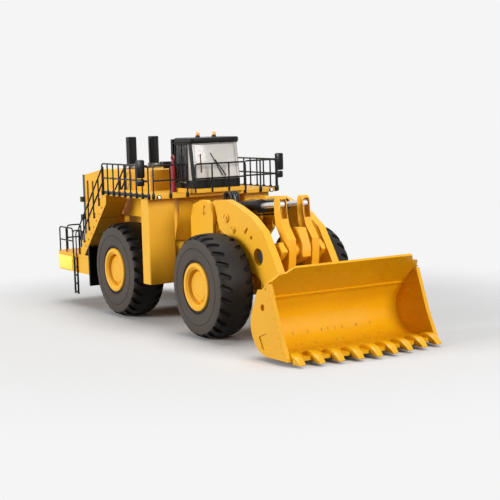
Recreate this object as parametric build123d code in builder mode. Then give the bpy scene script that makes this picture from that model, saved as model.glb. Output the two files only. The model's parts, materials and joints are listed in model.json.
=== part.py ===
from build123d import *
import os
from math import atan2, cos, hypot, pi, radians, sin

# Scale model of a large articulated wheel loader, in millimetres.
# X runs forward, Y to the machine's left and Z up from the ground under the tyres.
# Lengths along the machine are measured from the articulation hitch.

# Running gear
WHEELBASE = 128.0
TYRE_DIAMETER = 73.0
TYRE_WIDTH = 27.0
WHEEL_TRACK = 82.0
TYRE_FACETS = 52
TREAD_WIDTH = 19.0
SIDEWALL_DROP = 6.0
TYRE_SLOTS = 26
SLOT_LENGTH = 9.0
SLOT_WIDTH = 2.5
SLOT_DEPTH = 2.4
SLOT_OFFSET = 8.6
SLOT_SLANT = 12.0
RIM_DIAMETER = 34.0
RIM_FACETS = 32
RIM_STAND_OUT = 0.4
WELL_DIAMETER = 26.0
WELL_RECESS = 1.8
HUB_RECESS = 4.2
HUB_DIAMETER = 21.6
HUB_THICKNESS = 4.0
SPINDLE_DIAMETER = 6.0
AXLE_DIAMETER = 12.0
DIFFERENTIAL_DIAMETER = 20.0
DIFFERENTIAL_WIDTH = 18.0
AXLE_CLEARANCE = 1.0
RIM_INSET = 2.0
RUNNING_GAP = 0.3
PIN_GAP = 0.15
BAR_FACETS = 16

# Reach behind the hitch
REAR_REACH = 178.0

# Articulation hitch
HITCH_PIN_DIAMETER = 7.0
HITCH_LUG_RADIUS = 7.0
HITCH_TOP = 61.0
HITCH_BOTTOM = 27.0
HITCH_LUG = 4.0
HITCH_TONGUE = 5.4

# Rear frame, bumper and walkways
FRAME_HALF_WIDTH = 14.0
FRAME_BOTTOM = 28.0
FRAME_TOP = 60.0
FRAME_FRONT = -24.0
FRAME_REAR = -166.0
CAB_PEDESTAL_FRONT = -14.0
CAB_PEDESTAL_REAR = -44.0
BUMPER_BOTTOM = 27.7
BUMPER_TOP = 40.5
BUMPER_FRONT = -114.5
BUMPER_DEPTH = 26.0
BUMPER_ARM_WIDTH = 19.0
BUMPER_CORNER_DEPTH = 4.0
BUMPER_CORNER_WIDTH = 8.0
TOW_PIN_DIAMETER = 2.6
TOW_POCKET_DEPTH = 7.0
TOW_POCKET_HALF_WIDTH = 9.0
TOW_POCKET_LIP = 3.5
PLATFORM_THICKNESS = 2.5
DECK_BOTTOM = 94.0
DECK_THICKNESS = 3.0
DECK_FRONT = 3.0
DECK_HALF_WIDTH = 55.0
DECK_OVER_TYRE = 23.5
PLINTH_OVERHANG = 4.6
PLINTH_MARGIN = 2.0
STAIR_INNER = 35.0
STAIR_STEPS = 9
STAIR_THICKNESS = 8.4
EDGE_INSET = 2.0
FLAP_BOTTOM = 18.7
FLAP_THICKNESS = 2.0
TANK_FRONT = -6.5
TANK_REAR = -18.5
TANK_INNER = 30.5
TANK_BOTTOM = 30.5

# Railings
RAIL_SIZE = 1.4
RAIL_TOP = 119.0
RAIL_MIDDLE = 108.0
PLATFORM_RAIL_HEIGHT = 21.0
STAIR_RAIL_HEIGHT = 22.0
TOE_RAIL = 4.6
MIRROR_WIDTH = 5.0
LADDER_BOTTOM = 10.0

# Engine hood
HOOD_HALF_WIDTH = 30.0
HOOD_FRONT = -45.0
HOOD_REAR = -166.0
HOOD_TOP = 111.5
HOOD_REAR_TOP = 106.0
HOOD_COWL_TOP = 113.0
HOOD_SHELF = 76.0
HOOD_REAR_BOTTOM = 48.0
HOOD_WAIST_HALF_WIDTH = 23.0
HOOD_WAIST_REAR = -108.5
HOOD_COWL_LENGTH = 14.0
HOOD_TAIL_LENGTH = 34.0
GRILLE_THICKNESS = 4.0
GRILLE_SLATS = 9
GRILLE_BORDER = 4.0
GRILLE_FLOOR = 1.0
TAIL_LAMP = 4.4
TAIL_LAMP_WIDTH = 3.2
HOOD_GROOVE = 1.0
HOOD_GROOVE_WIDTH = 2.0
HOOD_GROOVE_LENGTH = 21.0
STACK_X = -115.0
STACK_Y = 10.2
STACK_RADIUS = 4.3
STACK_TOP = 137.3
COLLAR_HEIGHT = 4.0
COLLAR_FLANGE = 1.6
PRECLEANER_X = -75.0
PRECLEANER_RADIUS = 5.0
PRECLEANER_NECK = 2.4
PRECLEANER_HEIGHT = 6.2

# Cab
CAB_FRONT = 5.0
CAB_REAR = -23.0
CAB_HALF_WIDTH = 20.0
CAB_FLOOR = 100.0
CAB_TOP = 134.0
CAB_WALL = 1.6
CAB_SILL = 106.0
CAB_LEAN = 4.0
CAB_POST = 1.5
DOOR_POST = 1.6
DOOR_WIDTH = 14.2
DOOR_SILL = 104.0
GLASS_THICKNESS = 0.8
ROOF_THICKNESS = 3.4
VISOR = 4.0
ROOF_MARGIN = 1.0
ROPS_DEPTH = 4.5
ROPS_GAP = 1.2
ROPS_POST = 5.0

# Front frame and loader arms; pins are (x from hitch, z)
TOWER_PIN = (30.0, 85.6)
BUCKET_PIN = (132.0, 13.5)
LEVER_PIN = (113.0, 62.0)
LEVER_HEAD = (104.3, 92.8)
LEVER_FOOT = (105.7, 28.0)
LINK_PIN = (135.0, 24.5)
CROSS_TUBE = (100.0, 58.0)
LIFT_BASE = (33.0, 46.0)
LIFT_EYE = (82.0, 60.0)
CROSS_TUBE_RADIUS = 7.3
CROSS_TUBE_BORE = 6.0
MAIN_PIN_RADIUS = 2.2
LINK_PIN_RADIUS = 1.6
LINK_EYE_RADIUS = 3.4
BUCKET_EYE_RADIUS = 5.0
ARM_EYE_RADIUS = 6.5
SPINE_HALF_WIDTH = 11.0
SPINE_REAR = 14.0
SPINE_TOP = 70.0
SPINE_SHELF = 54.0
HOSE_RADIUS = 0.9
HOSE_TOP = 97.0
TOWER_OUTER = 26.5
TOWER_PLATE = 2.9
TOWER_INNER = 17.0
ARM_OUTER = 25.5
ARM_INNER = 20.0
TONGUE_OUTER = 23.2
LEVER_Y = 9.4
LEVER_WIDTH = 6.0
LINK_PLATE = 2.4
BRACKET_HALF_WIDTH = 3.2
LIFT_Y = 15.8
LIFT_WIDTH = 6.4
LIFT_BARREL_RADIUS = 3.4
LIFT_ROD_RADIUS = 1.7
LIFT_ROD_START = 6.5
LIFT_BARREL_LENGTH = 44.0
LIFT_ROD_EYE = 3.6
TILT_BARREL_RADIUS = 4.6
TILT_ROD_RADIUS = 2.0
TILT_ROD_START = 17.0
TILT_BARREL_LENGTH = 52.0
TILT_ROD_EYE = 2.8

# Bucket
BUCKET_HALF_WIDTH = 59.0
BUCKET_WALL = 2.0
BUCKET_HEEL = (161.0, 21.9)
BUCKET_HEEL_RADIUS = 16.8
BUCKET_BACK_ANGLE = 145.0
BUCKET_CREASE = (152.0, 38.6)
SPILL_LIP = (175.0, 59.3)
SPILL_HALF_WIDTH = 46.5
SIDE_CUTTER = 0.8
WEAR_RECESS = 0.8
HINGE_PLATE = 2.6
EDGE_SIDE = 184.0
EDGE_CENTRE = 192.5
EDGE_REAR = 176.0
EDGE_THICKNESS = 2.4
TEETH = 9
TOOTH_WIDTH = 6.6
TOOTH_TIP_WIDTH = 5.0
TOOTH_LENGTH = 6.5
TOOTH_STRAP = 9.0

SEAT_GAP = 0.05
FRONT_REACH = EDGE_CENTRE + SEAT_GAP + TOOTH_LENGTH
HITCH_X = (REAR_REACH - FRONT_REACH) / 2
AXLE_Z = TYRE_DIAMETER / 2
DECK_REAR = -WHEELBASE / 2 - TYRE_DIAMETER / 2 + DECK_OVER_TYRE
STAIR_OUTER = DECK_HALF_WIDTH - EDGE_INSET
BUMPER_HALF_WIDTH = DECK_HALF_WIDTH - EDGE_INSET
TANK_OUTER = DECK_HALF_WIDTH - EDGE_INSET
TOOTH_PITCH = 2 * (BUCKET_HALF_WIDTH - BUCKET_WALL - TOOTH_WIDTH / 2 - 2 * SEAT_GAP) / (TEETH - 1)
DECK_TOP = DECK_BOTTOM + DECK_THICKNESS
PLINTH_HALF_WIDTH = CAB_HALF_WIDTH + PLINTH_MARGIN
BUCKET_BACK = BUCKET_HEEL_RADIUS + BUCKET_WALL
BUCKET_BOTTOM = BUCKET_HEEL[1] - BUCKET_BACK
PLATFORM_TOP = BUMPER_TOP + PLATFORM_THICKNESS
LEVER_INNER = LEVER_Y - LEVER_WIDTH / 2
LEVER_OUTER = LEVER_Y + LEVER_WIDTH / 2
LEVER_LUG = LEVER_OUTER + 4.6


def at_hitch(points):
    """Turn (x from hitch, z) points into points of the model's own frame."""
    return [(HITCH_X + x, z) for x, z in points]


def plate(outline, y_low, y_high, mode=Mode.ADD):
    """Add or cut a plate with a side outline, between two stations across the machine."""
    with BuildSketch(Plane.XZ.offset(-y_high)) as face:
        with BuildLine():
            Polyline(*at_hitch(outline), close=True)
        make_face()
    extrude(face.sketch, amount=y_high - y_low, mode=mode)


def plan_plate(outline, z_low, z_high, mode=Mode.ADD):
    """Add or cut a plate with a plan outline (x from hitch, y), between two heights."""
    with BuildSketch(Plane.XY.offset(z_low)) as face:
        with BuildLine():
            Polyline(*at_hitch(outline), close=True)
        make_face()
    extrude(face.sketch, amount=z_high - z_low, mode=mode)


def front_plate(outline, x_low, x_high, mode=Mode.ADD):
    """Add or cut a plate with a front outline (y, z), between two stations along the machine."""
    with BuildSketch(Plane.YZ.offset(HITCH_X + x_low)) as face:
        with BuildLine():
            Polyline(*outline, close=True)
        make_face()
    extrude(face.sketch, amount=x_high - x_low, mode=mode)


def block(x_low, x_high, y_low, y_high, z_low, z_high, mode=Mode.ADD):
    """Add or cut a block between stations measured from the hitch."""
    centre = (HITCH_X + (x_low + x_high) / 2, (y_low + y_high) / 2, (z_low + z_high) / 2)
    with Locations(centre):
        Box(x_high - x_low, y_high - y_low, z_high - z_low, mode=mode)


def cross_bar(pin, radius, y_low, y_high, mode=Mode.ADD):
    """Add or cut a faceted round bar that lies across the machine at a pin."""
    with BuildSketch(Plane.XZ.offset(-y_high)) as section:
        with Locations((HITCH_X + pin[0], pin[1])):
            RegularPolygon(radius, BAR_FACETS)
    extrude(section.sketch, amount=y_high - y_low, mode=mode)


def upright(x, y, radius, z_low, z_high, mode=Mode.ADD):
    """Add or cut an upright faceted bar."""
    with BuildSketch(Plane.XY.offset(z_low)) as section:
        with Locations((HITCH_X + x, y)):
            RegularPolygon(radius, BAR_FACETS)
    extrude(section.sketch, amount=z_high - z_low, mode=mode)


def drilled(x, y, radius, z_low, z_high):
    """Drill an upright hole."""
    with Locations((HITCH_X + x, y, (z_low + z_high) / 2)):
        Cylinder(radius, z_high - z_low, mode=Mode.SUBTRACT)


def across(side, inner, outer):
    """Stations of a piece between two distances from the middle, on the right (-1) or the left (1)."""
    return sorted((side * inner, side * outer))


def finished(piece, name):
    """Label a finished piece and return it."""
    piece.label = name
    return piece


def wheel_plane(axle_x, side):
    """Middle plane of a wheel; its normal points out of the machine along the axle."""
    centre = (HITCH_X + axle_x, side * WHEEL_TRACK / 2, AXLE_Z)
    return Plane(origin=centre, x_dir=(1, 0, 0), z_dir=(0, side, 0))


def ring_points(plane, offset, radius, facets):
    """Corners of a regular polygon around a wheel's axle, at an offset along it."""
    turns = [2 * pi * number / facets for number in range(facets)]
    return [plane.from_local_coords((radius * cos(turn), radius * sin(turn), offset)) for turn in turns]


def faceted_drum(plane, stations, facets):
    """Closed drum of flat facets through (offset, radius) stations along a wheel's axle."""
    rings = [ring_points(plane, offset, radius, facets) for offset, radius in stations]
    walls = [
        Face(Wire.make_polygon([low[number - 1], low[number], high[number], high[number - 1]]))
        for low, high in zip(rings, rings[1:]) for number in range(facets)
    ]
    ends = [Face(Wire.make_polygon(ring)) for ring in (rings[0], rings[-1])]
    return Solid(Shell(walls + ends))


def make_tyre(name, axle_x, side):
    """Broad faceted tyre with slanted slots along both shoulders, open in the middle for its rim."""
    radius = TYRE_DIAMETER / 2
    half = TYRE_WIDTH / 2
    tread = TREAD_WIDTH / 2
    plane = wheel_plane(axle_x, side)
    shoulder = radius - SIDEWALL_DROP
    stations = [(-half, shoulder), (-tread, radius), (tread, radius), (half, shoulder)]
    pitch = 360 / TYRE_SLOTS
    with BuildPart() as tyre:
        add(faceted_drum(plane, stations, TYRE_FACETS))
        with BuildSketch(plane.offset(-half)):
            RegularPolygon(RIM_DIAMETER / 2, RIM_FACETS, major_radius=False)
        extrude(amount=TYRE_WIDTH, mode=Mode.SUBTRACT)
        slots = [
            plane.location * Rotation(0, 0, (number + shift) * pitch) * Pos(radius, 0, edge * SLOT_OFFSET)
            * Rotation(edge * SLOT_SLANT, 0, 0)
            for edge, shift in ((-1, 0.25), (1, 0.75)) for number in range(TYRE_SLOTS)
        ]
        with Locations(*slots):
            Box(2 * SLOT_DEPTH, SLOT_WIDTH, SLOT_LENGTH, mode=Mode.SUBTRACT)
    return finished(tyre.part, name)


def make_rim(name, axle_x, side):
    """Dished rim: a broad flange outside, a stepped well, a recessed hub disc and a bore for the spindle."""
    half = TYRE_WIDTH / 2
    inside = RIM_INSET - half
    outer = half + RIM_STAND_OUT
    hub_face = outer - HUB_RECESS
    blind = hub_face - HUB_THICKNESS
    plane = wheel_plane(axle_x, side)
    cuts = ((WELL_DIAMETER / 2, outer - WELL_RECESS, outer), (HUB_DIAMETER / 2, hub_face, outer),
            (SPINDLE_DIAMETER / 2 + PIN_GAP, inside, blind))
    with BuildPart() as rim:
        with BuildSketch(plane.offset(inside)):
            RegularPolygon(RIM_DIAMETER / 2 - PIN_GAP / 2, RIM_FACETS, major_radius=False)
        extrude(amount=outer - inside)
        for radius, low, high in cuts:
            with BuildSketch(plane.offset(low)):
                RegularPolygon(radius, RIM_FACETS)
            extrude(amount=high - low, mode=Mode.SUBTRACT)
    return finished(rim.part, name)


def make_axle(name, axle_x):
    """Axle housing with a round differential in the middle and a spindle at each end."""
    inner = WHEEL_TRACK / 2 - TYRE_WIDTH / 2
    flange = inner + RIM_INSET - RUNNING_GAP
    spindle_end = WHEEL_TRACK / 2 + TYRE_WIDTH / 2 + RIM_STAND_OUT - HUB_RECESS - HUB_THICKNESS - RUNNING_GAP
    pin = (axle_x, AXLE_Z)
    with BuildPart() as axle:
        cross_bar(pin, AXLE_DIAMETER / 2, -flange, flange)
        cross_bar(pin, DIFFERENTIAL_DIAMETER / 2, -DIFFERENTIAL_WIDTH / 2, DIFFERENTIAL_WIDTH / 2)
        cross_bar(pin, SPINDLE_DIAMETER / 2, -spindle_end, spindle_end)
    return finished(axle.part, name)


def hitch_lug(z_low, z_high, reach):
    """Add one hitch lug: a tapered plate that ends in a round eye at the hitch."""
    with BuildSketch(Plane.XY.offset(z_low)) as outline:
        with BuildLine():
            Polyline(
                (HITCH_X + reach, -FRAME_HALF_WIDTH + 2.0),
                (HITCH_X, -HITCH_LUG_RADIUS),
                (HITCH_X, HITCH_LUG_RADIUS),
                (HITCH_X + reach, FRAME_HALF_WIDTH - 2.0),
                close=True,
            )
        make_face()
        with Locations((HITCH_X, 0)):
            Circle(HITCH_LUG_RADIUS)
    extrude(outline.sketch, amount=z_high - z_low)


def make_rear_frame():
    """Rear box frame with the cab pedestal in front and the fork that holds the hitch pin."""
    axle_x = -WHEELBASE / 2
    arch = DIFFERENTIAL_DIAMETER / 2 + AXLE_CLEARANCE
    with BuildPart() as frame:
        plate(
            [(FRAME_FRONT, FRAME_BOTTOM), (FRAME_FRONT, FRAME_TOP), (FRAME_REAR, FRAME_TOP),
             (FRAME_REAR, FRAME_BOTTOM + 8.0), (FRAME_REAR + 14.0, FRAME_BOTTOM)],
            -FRAME_HALF_WIDTH, FRAME_HALF_WIDTH,
        )
        plate(
            [(CAB_PEDESTAL_REAR, FRAME_TOP), (CAB_PEDESTAL_FRONT - 8.0, FRAME_TOP),
             (CAB_PEDESTAL_FRONT, DECK_BOTTOM - 12.0), (CAB_PEDESTAL_FRONT, DECK_BOTTOM),
             (CAB_PEDESTAL_REAR, DECK_BOTTOM)],
            -HOOD_WAIST_HALF_WIDTH, HOOD_WAIST_HALF_WIDTH,
        )
        hitch_lug(HITCH_TOP - HITCH_LUG, HITCH_TOP, FRAME_FRONT)
        hitch_lug(HITCH_BOTTOM, HITCH_BOTTOM + HITCH_LUG, FRAME_FRONT)
        upright(0.0, 0.0, HITCH_PIN_DIAMETER / 2, HITCH_BOTTOM, HITCH_TOP)
        block(axle_x - arch, axle_x + arch, -FRAME_HALF_WIDTH, FRAME_HALF_WIDTH,
              FRAME_BOTTOM, AXLE_Z, mode=Mode.SUBTRACT)
        cross_bar((axle_x, AXLE_Z), arch, -FRAME_HALF_WIDTH, FRAME_HALF_WIDTH, mode=Mode.SUBTRACT)
        for side in (-1, 1):
            block(axle_x - AXLE_DIAMETER / 2, axle_x + AXLE_DIAMETER / 2,
                  *across(side, DIFFERENTIAL_WIDTH / 2 + AXLE_CLEARANCE, FRAME_HALF_WIDTH),
                  AXLE_Z + AXLE_DIAMETER / 2, FRAME_TOP)
    return finished(frame.part, "rear_frame")


def bumper_outline(inner_rear, inner):
    """Plan outline of a U that wraps the rear: its inner edges lie at inner_rear and at +-inner."""
    half = BUMPER_HALF_WIDTH
    rear = -REAR_REACH
    shoulder = rear + BUMPER_CORNER_DEPTH
    corner = half - BUMPER_CORNER_WIDTH
    return [(shoulder, -half), (BUMPER_FRONT, -half), (BUMPER_FRONT, -inner), (inner_rear, -inner),
            (inner_rear, inner), (BUMPER_FRONT, inner), (BUMPER_FRONT, half), (shoulder, half),
            (rear, corner), (rear, -corner)]


def make_rear_bumper():
    """Counterweight bumper wrapped round the frame, with a tow pin hole in its middle."""
    rear = -REAR_REACH
    inner_rear = rear + BUMPER_DEPTH
    with BuildPart() as bumper:
        plan_plate(bumper_outline(inner_rear, BUMPER_HALF_WIDTH - BUMPER_ARM_WIDTH), BUMPER_BOTTOM, BUMPER_TOP)
        block(FRAME_REAR, inner_rear, -FRAME_HALF_WIDTH, FRAME_HALF_WIDTH,
              BUMPER_BOTTOM, BUMPER_TOP, mode=Mode.SUBTRACT)
        block(rear, rear + TOW_POCKET_DEPTH, -TOW_POCKET_HALF_WIDTH, TOW_POCKET_HALF_WIDTH,
              BUMPER_BOTTOM + TOW_POCKET_LIP, BUMPER_TOP - TOW_POCKET_LIP, mode=Mode.SUBTRACT)
        drilled(rear + TOW_POCKET_DEPTH / 2, 0.0, TOW_PIN_DIAMETER / 2, BUMPER_BOTTOM, BUMPER_TOP)
    return finished(bumper.part, "rear_bumper")


def make_rear_platform():
    """Walkway plate on the bumper, cut round the engine hood and its grille."""
    with BuildPart() as platform:
        plan_plate(bumper_outline(HOOD_REAR - GRILLE_THICKNESS, HOOD_HALF_WIDTH + 2.0), BUMPER_TOP, PLATFORM_TOP)
        drilled(-REAR_REACH + TOW_POCKET_DEPTH / 2, 0.0, TOW_PIN_DIAMETER / 2 + 1.0, BUMPER_TOP, PLATFORM_TOP)
    return finished(platform.part, "rear_platform")


def stair_line():
    """Foot and head of a stair flight, as (x from hitch, z) of its tread line."""
    head = (DECK_REAR, DECK_TOP)
    foot = (DECK_REAR - (DECK_TOP - PLATFORM_TOP), PLATFORM_TOP)
    return foot, head


def make_stairs():
    """Two stair flights from the rear platform up to the deck, with stepped treads."""
    foot, head = stair_line()
    run = (head[0] - foot[0]) / STAIR_STEPS
    rise = (head[1] - foot[1]) / STAIR_STEPS
    outline = [foot]
    for step in range(STAIR_STEPS):
        x = foot[0] + step * run
        z = foot[1] + (step + 1) * rise
        outline += [(x, z), (x + run, z)]
    outline += [(head[0], head[1] - STAIR_THICKNESS), (foot[0] + STAIR_THICKNESS, foot[1])]
    with BuildPart() as stairs:
        plate(outline, -STAIR_OUTER, -STAIR_INNER)
        mirror(about=Plane.XZ)
    return finished(stairs.part, "stairs")


def make_mudflaps():
    """Flaps behind the rear tyres, from under the stairs down past the bumper."""
    foot = stair_line()[0]
    top = PLATFORM_TOP + BUMPER_FRONT - foot[0] - STAIR_THICKNESS - RUNNING_GAP
    with BuildPart() as flaps:
        block(BUMPER_FRONT, BUMPER_FRONT + FLAP_THICKNESS, -BUMPER_HALF_WIDTH,
              -BUMPER_HALF_WIDTH + BUMPER_ARM_WIDTH, FLAP_BOTTOM, top)
        mirror(about=Plane.XZ)
    return finished(flaps.part, "mudflaps")


def make_side_tanks():
    """Tall tanks that hang from the deck, one on each side in front of the rear wheels."""
    with BuildPart() as tanks:
        block(TANK_REAR, TANK_FRONT, -TANK_OUTER, -TANK_INNER, TANK_BOTTOM, DECK_BOTTOM)
        fillet(tanks.edges().filter_by(Axis.Z), 1.5)
        mirror(about=Plane.XZ)
    return finished(tanks.part, "side_tanks")


def make_deck():
    """Deck that carries the cab, with a plinth under the cab."""
    with BuildPart() as deck:
        block(DECK_REAR, DECK_FRONT, -DECK_HALF_WIDTH, DECK_HALF_WIDTH, DECK_BOTTOM, DECK_TOP)
        block(DECK_REAR, HOOD_FRONT, -HOOD_HALF_WIDTH, HOOD_HALF_WIDTH, DECK_BOTTOM, DECK_TOP,
              mode=Mode.SUBTRACT)
        block(CAB_REAR - ROPS_DEPTH, CAB_FRONT + PLINTH_OVERHANG, -PLINTH_HALF_WIDTH, PLINTH_HALF_WIDTH,
              DECK_TOP, CAB_FLOOR)
    return finished(deck.part, "deck")


def make_hood():
    """Engine hood: wide upper body over the tyres, narrow waist between them, grooves near its tail."""
    cowl_rear = HOOD_FRONT - HOOD_COWL_LENGTH
    groove_top = HOOD_REAR_TOP - 5.0
    with BuildPart() as hood:
        plate(
            [(HOOD_FRONT, HOOD_SHELF), (HOOD_FRONT, HOOD_COWL_TOP), (cowl_rear, HOOD_COWL_TOP),
             (cowl_rear - 2.0, HOOD_TOP), (HOOD_REAR + HOOD_TAIL_LENGTH, HOOD_TOP), (HOOD_REAR, HOOD_REAR_TOP),
             (HOOD_REAR, HOOD_REAR_BOTTOM), (HOOD_WAIST_REAR, HOOD_REAR_BOTTOM), (HOOD_WAIST_REAR, HOOD_SHELF)],
            -HOOD_HALF_WIDTH, HOOD_HALF_WIDTH,
        )
        block(HOOD_REAR, HOOD_WAIST_REAR, -FRAME_HALF_WIDTH, FRAME_HALF_WIDTH,
              HOOD_REAR_BOTTOM, FRAME_TOP, mode=Mode.SUBTRACT)
        block(HOOD_WAIST_REAR, HOOD_FRONT, -HOOD_WAIST_HALF_WIDTH, HOOD_WAIST_HALF_WIDTH, FRAME_TOP, HOOD_SHELF)
        for x in (HOOD_REAR + 5.0, HOOD_REAR + 15.0):
            for side in (-1, 1):
                block(x, x + HOOD_GROOVE_WIDTH, *across(side, HOOD_HALF_WIDTH - HOOD_GROOVE, HOOD_HALF_WIDTH),
                      groove_top - HOOD_GROOVE_LENGTH, groove_top, mode=Mode.SUBTRACT)
    return finished(hood.part, "engine_hood")


def make_grille():
    """Radiator guard at the rear: a frame with level slats and two lamps on each side."""
    low = HOOD_REAR_BOTTOM
    high = HOOD_REAR_TOP
    rear = HOOD_REAR - GRILLE_THICKNESS
    opening = HOOD_HALF_WIDTH - GRILLE_BORDER
    pitch = (high - low - 2 * GRILLE_BORDER) / GRILLE_SLATS
    with BuildPart() as grille:
        block(rear, HOOD_REAR, -HOOD_HALF_WIDTH, HOOD_HALF_WIDTH, low, high)
        for slot in range(GRILLE_SLATS):
            z = low + GRILLE_BORDER + slot * pitch
            block(rear, HOOD_REAR - GRILLE_FLOOR, -opening, opening, z, z + pitch * 0.55, mode=Mode.SUBTRACT)
        for side in (-1, 1):
            for z in (low + 20.0, low + 35.0):
                block(rear, HOOD_REAR - GRILLE_FLOOR,
                      *across(side, HOOD_HALF_WIDTH, HOOD_HALF_WIDTH + TAIL_LAMP_WIDTH), z, z + TAIL_LAMP)
    return finished(grille.part, "radiator_grille")


def make_stacks():
    """Two exhaust stacks side by side, standing on their collars."""
    with BuildPart() as stacks:
        for side in (-1, 1):
            upright(STACK_X, side * STACK_Y, STACK_RADIUS, HOOD_TOP + COLLAR_HEIGHT, STACK_TOP)
    return finished(stacks.part, "exhaust_stacks")


def make_collars():
    """Bright stepped collars at the feet of the stacks."""
    flange = HOOD_TOP + COLLAR_FLANGE
    with BuildPart() as collars:
        for side in (-1, 1):
            upright(STACK_X, side * STACK_Y, STACK_RADIUS + 2.6, HOOD_TOP, flange)
            upright(STACK_X, side * STACK_Y, STACK_RADIUS + 1.0, flange, HOOD_TOP + COLLAR_HEIGHT)
    return finished(collars.part, "stack_collars")


def make_precleaner():
    """Mushroom air pre-cleaner on the hood."""
    neck = HOOD_TOP + PRECLEANER_NECK
    with BuildPart() as cleaner:
        upright(PRECLEANER_X, 0.0, PRECLEANER_RADIUS / 2, HOOD_TOP, neck)
        upright(PRECLEANER_X, 0.0, PRECLEANER_RADIUS, neck, HOOD_TOP + PRECLEANER_HEIGHT)
    return finished(cleaner.part, "air_precleaner")


def cab_front(z):
    """Station of the cab's front at a height: upright below the sill and leaning back above it."""
    return CAB_FRONT - CAB_LEAN * max(z - CAB_SILL, 0.0) / (CAB_TOP - CAB_SILL)


def cab_outline(wall, floor):
    """Side outline of the cab, set in by a wall."""
    return [(CAB_REAR + wall, floor), (CAB_FRONT - wall, floor), (CAB_FRONT - wall, CAB_SILL),
            (cab_front(CAB_TOP) - wall, CAB_TOP), (CAB_REAR + wall, CAB_TOP)]


def side_windows():
    """Side outlines of the quarter window and of the door's window."""
    top = CAB_TOP - CAB_POST
    edge = CAB_WALL + CAB_POST
    door_rear = CAB_REAR + edge
    door_front = door_rear + DOOR_WIDTH
    quarter_rear = door_front + DOOR_POST
    quarter = [(quarter_rear, CAB_SILL), (CAB_FRONT - edge, CAB_SILL), (cab_front(top) - edge, top),
               (quarter_rear, top)]
    door = [(door_rear, DOOR_SILL), (door_front, DOOR_SILL), (door_front, top), (door_rear, top)]
    return quarter, door


def make_cab_shell():
    """Hollow cab body with a leaning front and its windows cut."""
    top = CAB_TOP - CAB_POST
    opening = CAB_HALF_WIDTH - CAB_WALL - CAB_POST
    with BuildPart() as cab:
        plate(cab_outline(0.0, CAB_FLOOR), -CAB_HALF_WIDTH, CAB_HALF_WIDTH)
        plate(cab_outline(CAB_WALL, CAB_FLOOR + CAB_WALL), -CAB_HALF_WIDTH + CAB_WALL,
              CAB_HALF_WIDTH - CAB_WALL, mode=Mode.SUBTRACT)
        block(cab_front(CAB_TOP) - 2 * CAB_WALL, CAB_FRONT, -opening, opening, CAB_SILL, top,
              mode=Mode.SUBTRACT)
        block(CAB_REAR, CAB_REAR + CAB_WALL, -opening, opening, CAB_SILL, top, mode=Mode.SUBTRACT)
        for outline in side_windows():
            plate(outline, -CAB_HALF_WIDTH, CAB_HALF_WIDTH, mode=Mode.SUBTRACT)
    return finished(cab.part, "cab_shell")


def make_cab_glass():
    """Panes that fill the cab's window openings."""
    inset = (CAB_WALL - GLASS_THICKNESS) / 2
    top = CAB_TOP - CAB_POST
    opening = CAB_HALF_WIDTH - CAB_WALL - CAB_POST
    windshield = [(cab_front(z) - inset - back, z) for z, back in
                  ((CAB_SILL, GLASS_THICKNESS), (CAB_SILL, 0.0), (top, 0.0), (top, GLASS_THICKNESS))]
    with BuildPart() as glass:
        plate(windshield, -opening, opening)
        block(CAB_REAR + inset, CAB_REAR + inset + GLASS_THICKNESS, -opening, opening, CAB_SILL, top)
        for outline in side_windows():
            plate(outline, -CAB_HALF_WIDTH + inset, -CAB_HALF_WIDTH + inset + GLASS_THICKNESS)
            plate(outline, CAB_HALF_WIDTH - inset - GLASS_THICKNESS, CAB_HALF_WIDTH - inset)
    return finished(glass.part, "cab_glass")


def make_cab_roof():
    """Roof slab with a visor over the windshield."""
    half = CAB_HALF_WIDTH + ROOF_MARGIN
    with BuildPart() as roof:
        block(CAB_REAR - ROOF_MARGIN, cab_front(CAB_TOP) + VISOR, -half, half, CAB_TOP, CAB_TOP + ROOF_THICKNESS)
        chamfer(roof.edges().filter_by(Axis.Z), 2.4)
        chamfer(roof.faces().sort_by(Axis.Z)[-1].edges(), 0.9)
    return finished(roof.part, "cab_roof")


def make_rops():
    """Roll-over frame behind the cab: two posts and a header."""
    rear = CAB_REAR - ROPS_DEPTH
    front = CAB_REAR - ROPS_GAP
    half = CAB_HALF_WIDTH + ROOF_MARGIN
    top = CAB_TOP + ROOF_THICKNESS - 1.0
    with BuildPart() as rops:
        for side in (-1, 1):
            block(rear, front, *across(side, half - ROPS_POST, half), CAB_FLOOR, top)
        block(rear, front, -half, half, top - ROPS_POST, top)
    return finished(rops.part, "rollover_frame")


def make_seat():
    """Operator's seat on its pedestal."""
    floor = CAB_FLOOR + CAB_WALL
    with BuildPart() as seat:
        plate(
            [(-16.0, floor), (-8.0, floor), (-8.0, floor + 5.0), (-5.5, floor + 5.0), (-5.5, floor + 8.5),
             (-14.0, floor + 8.5), (-16.5, floor + 22.0), (-19.5, floor + 22.0), (-17.5, floor + 5.0),
             (-16.0, floor + 5.0)],
            -5.0, 5.0,
        )
    return finished(seat.part, "operator_seat")


def make_console():
    """Control console with its sloped panel in front of the seat."""
    floor = CAB_FLOOR + CAB_WALL
    with BuildPart() as console:
        plate([(-1.5, floor), (2.5, floor), (2.5, floor + 8.0), (0.5, floor + 10.5), (-2.5, floor + 9.0)],
              -9.0, 9.0)
    return finished(console.part, "control_console")


def make_beacons():
    """Two amber beacons on the roof."""
    with BuildPart() as beacons:
        for side in (-1, 1):
            upright(-10.0, side * 7.0, 2.2, CAB_TOP + ROOF_THICKNESS, CAB_TOP + ROOF_THICKNESS + 4.0)
    return finished(beacons.part, "beacons")


def make_extinguisher():
    """Slim red bottle that stands on the deck at the right rear of the cab."""
    with BuildPart() as bottle:
        upright(-19.0, -CAB_HALF_WIDTH - 4.0, 1.7, DECK_TOP, DECK_TOP + 21.0)
        upright(-19.0, -CAB_HALF_WIDTH - 4.0, 0.9, DECK_TOP + 21.0, DECK_TOP + 24.0)
    return finished(bottle.part, "fire_extinguisher")


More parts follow.
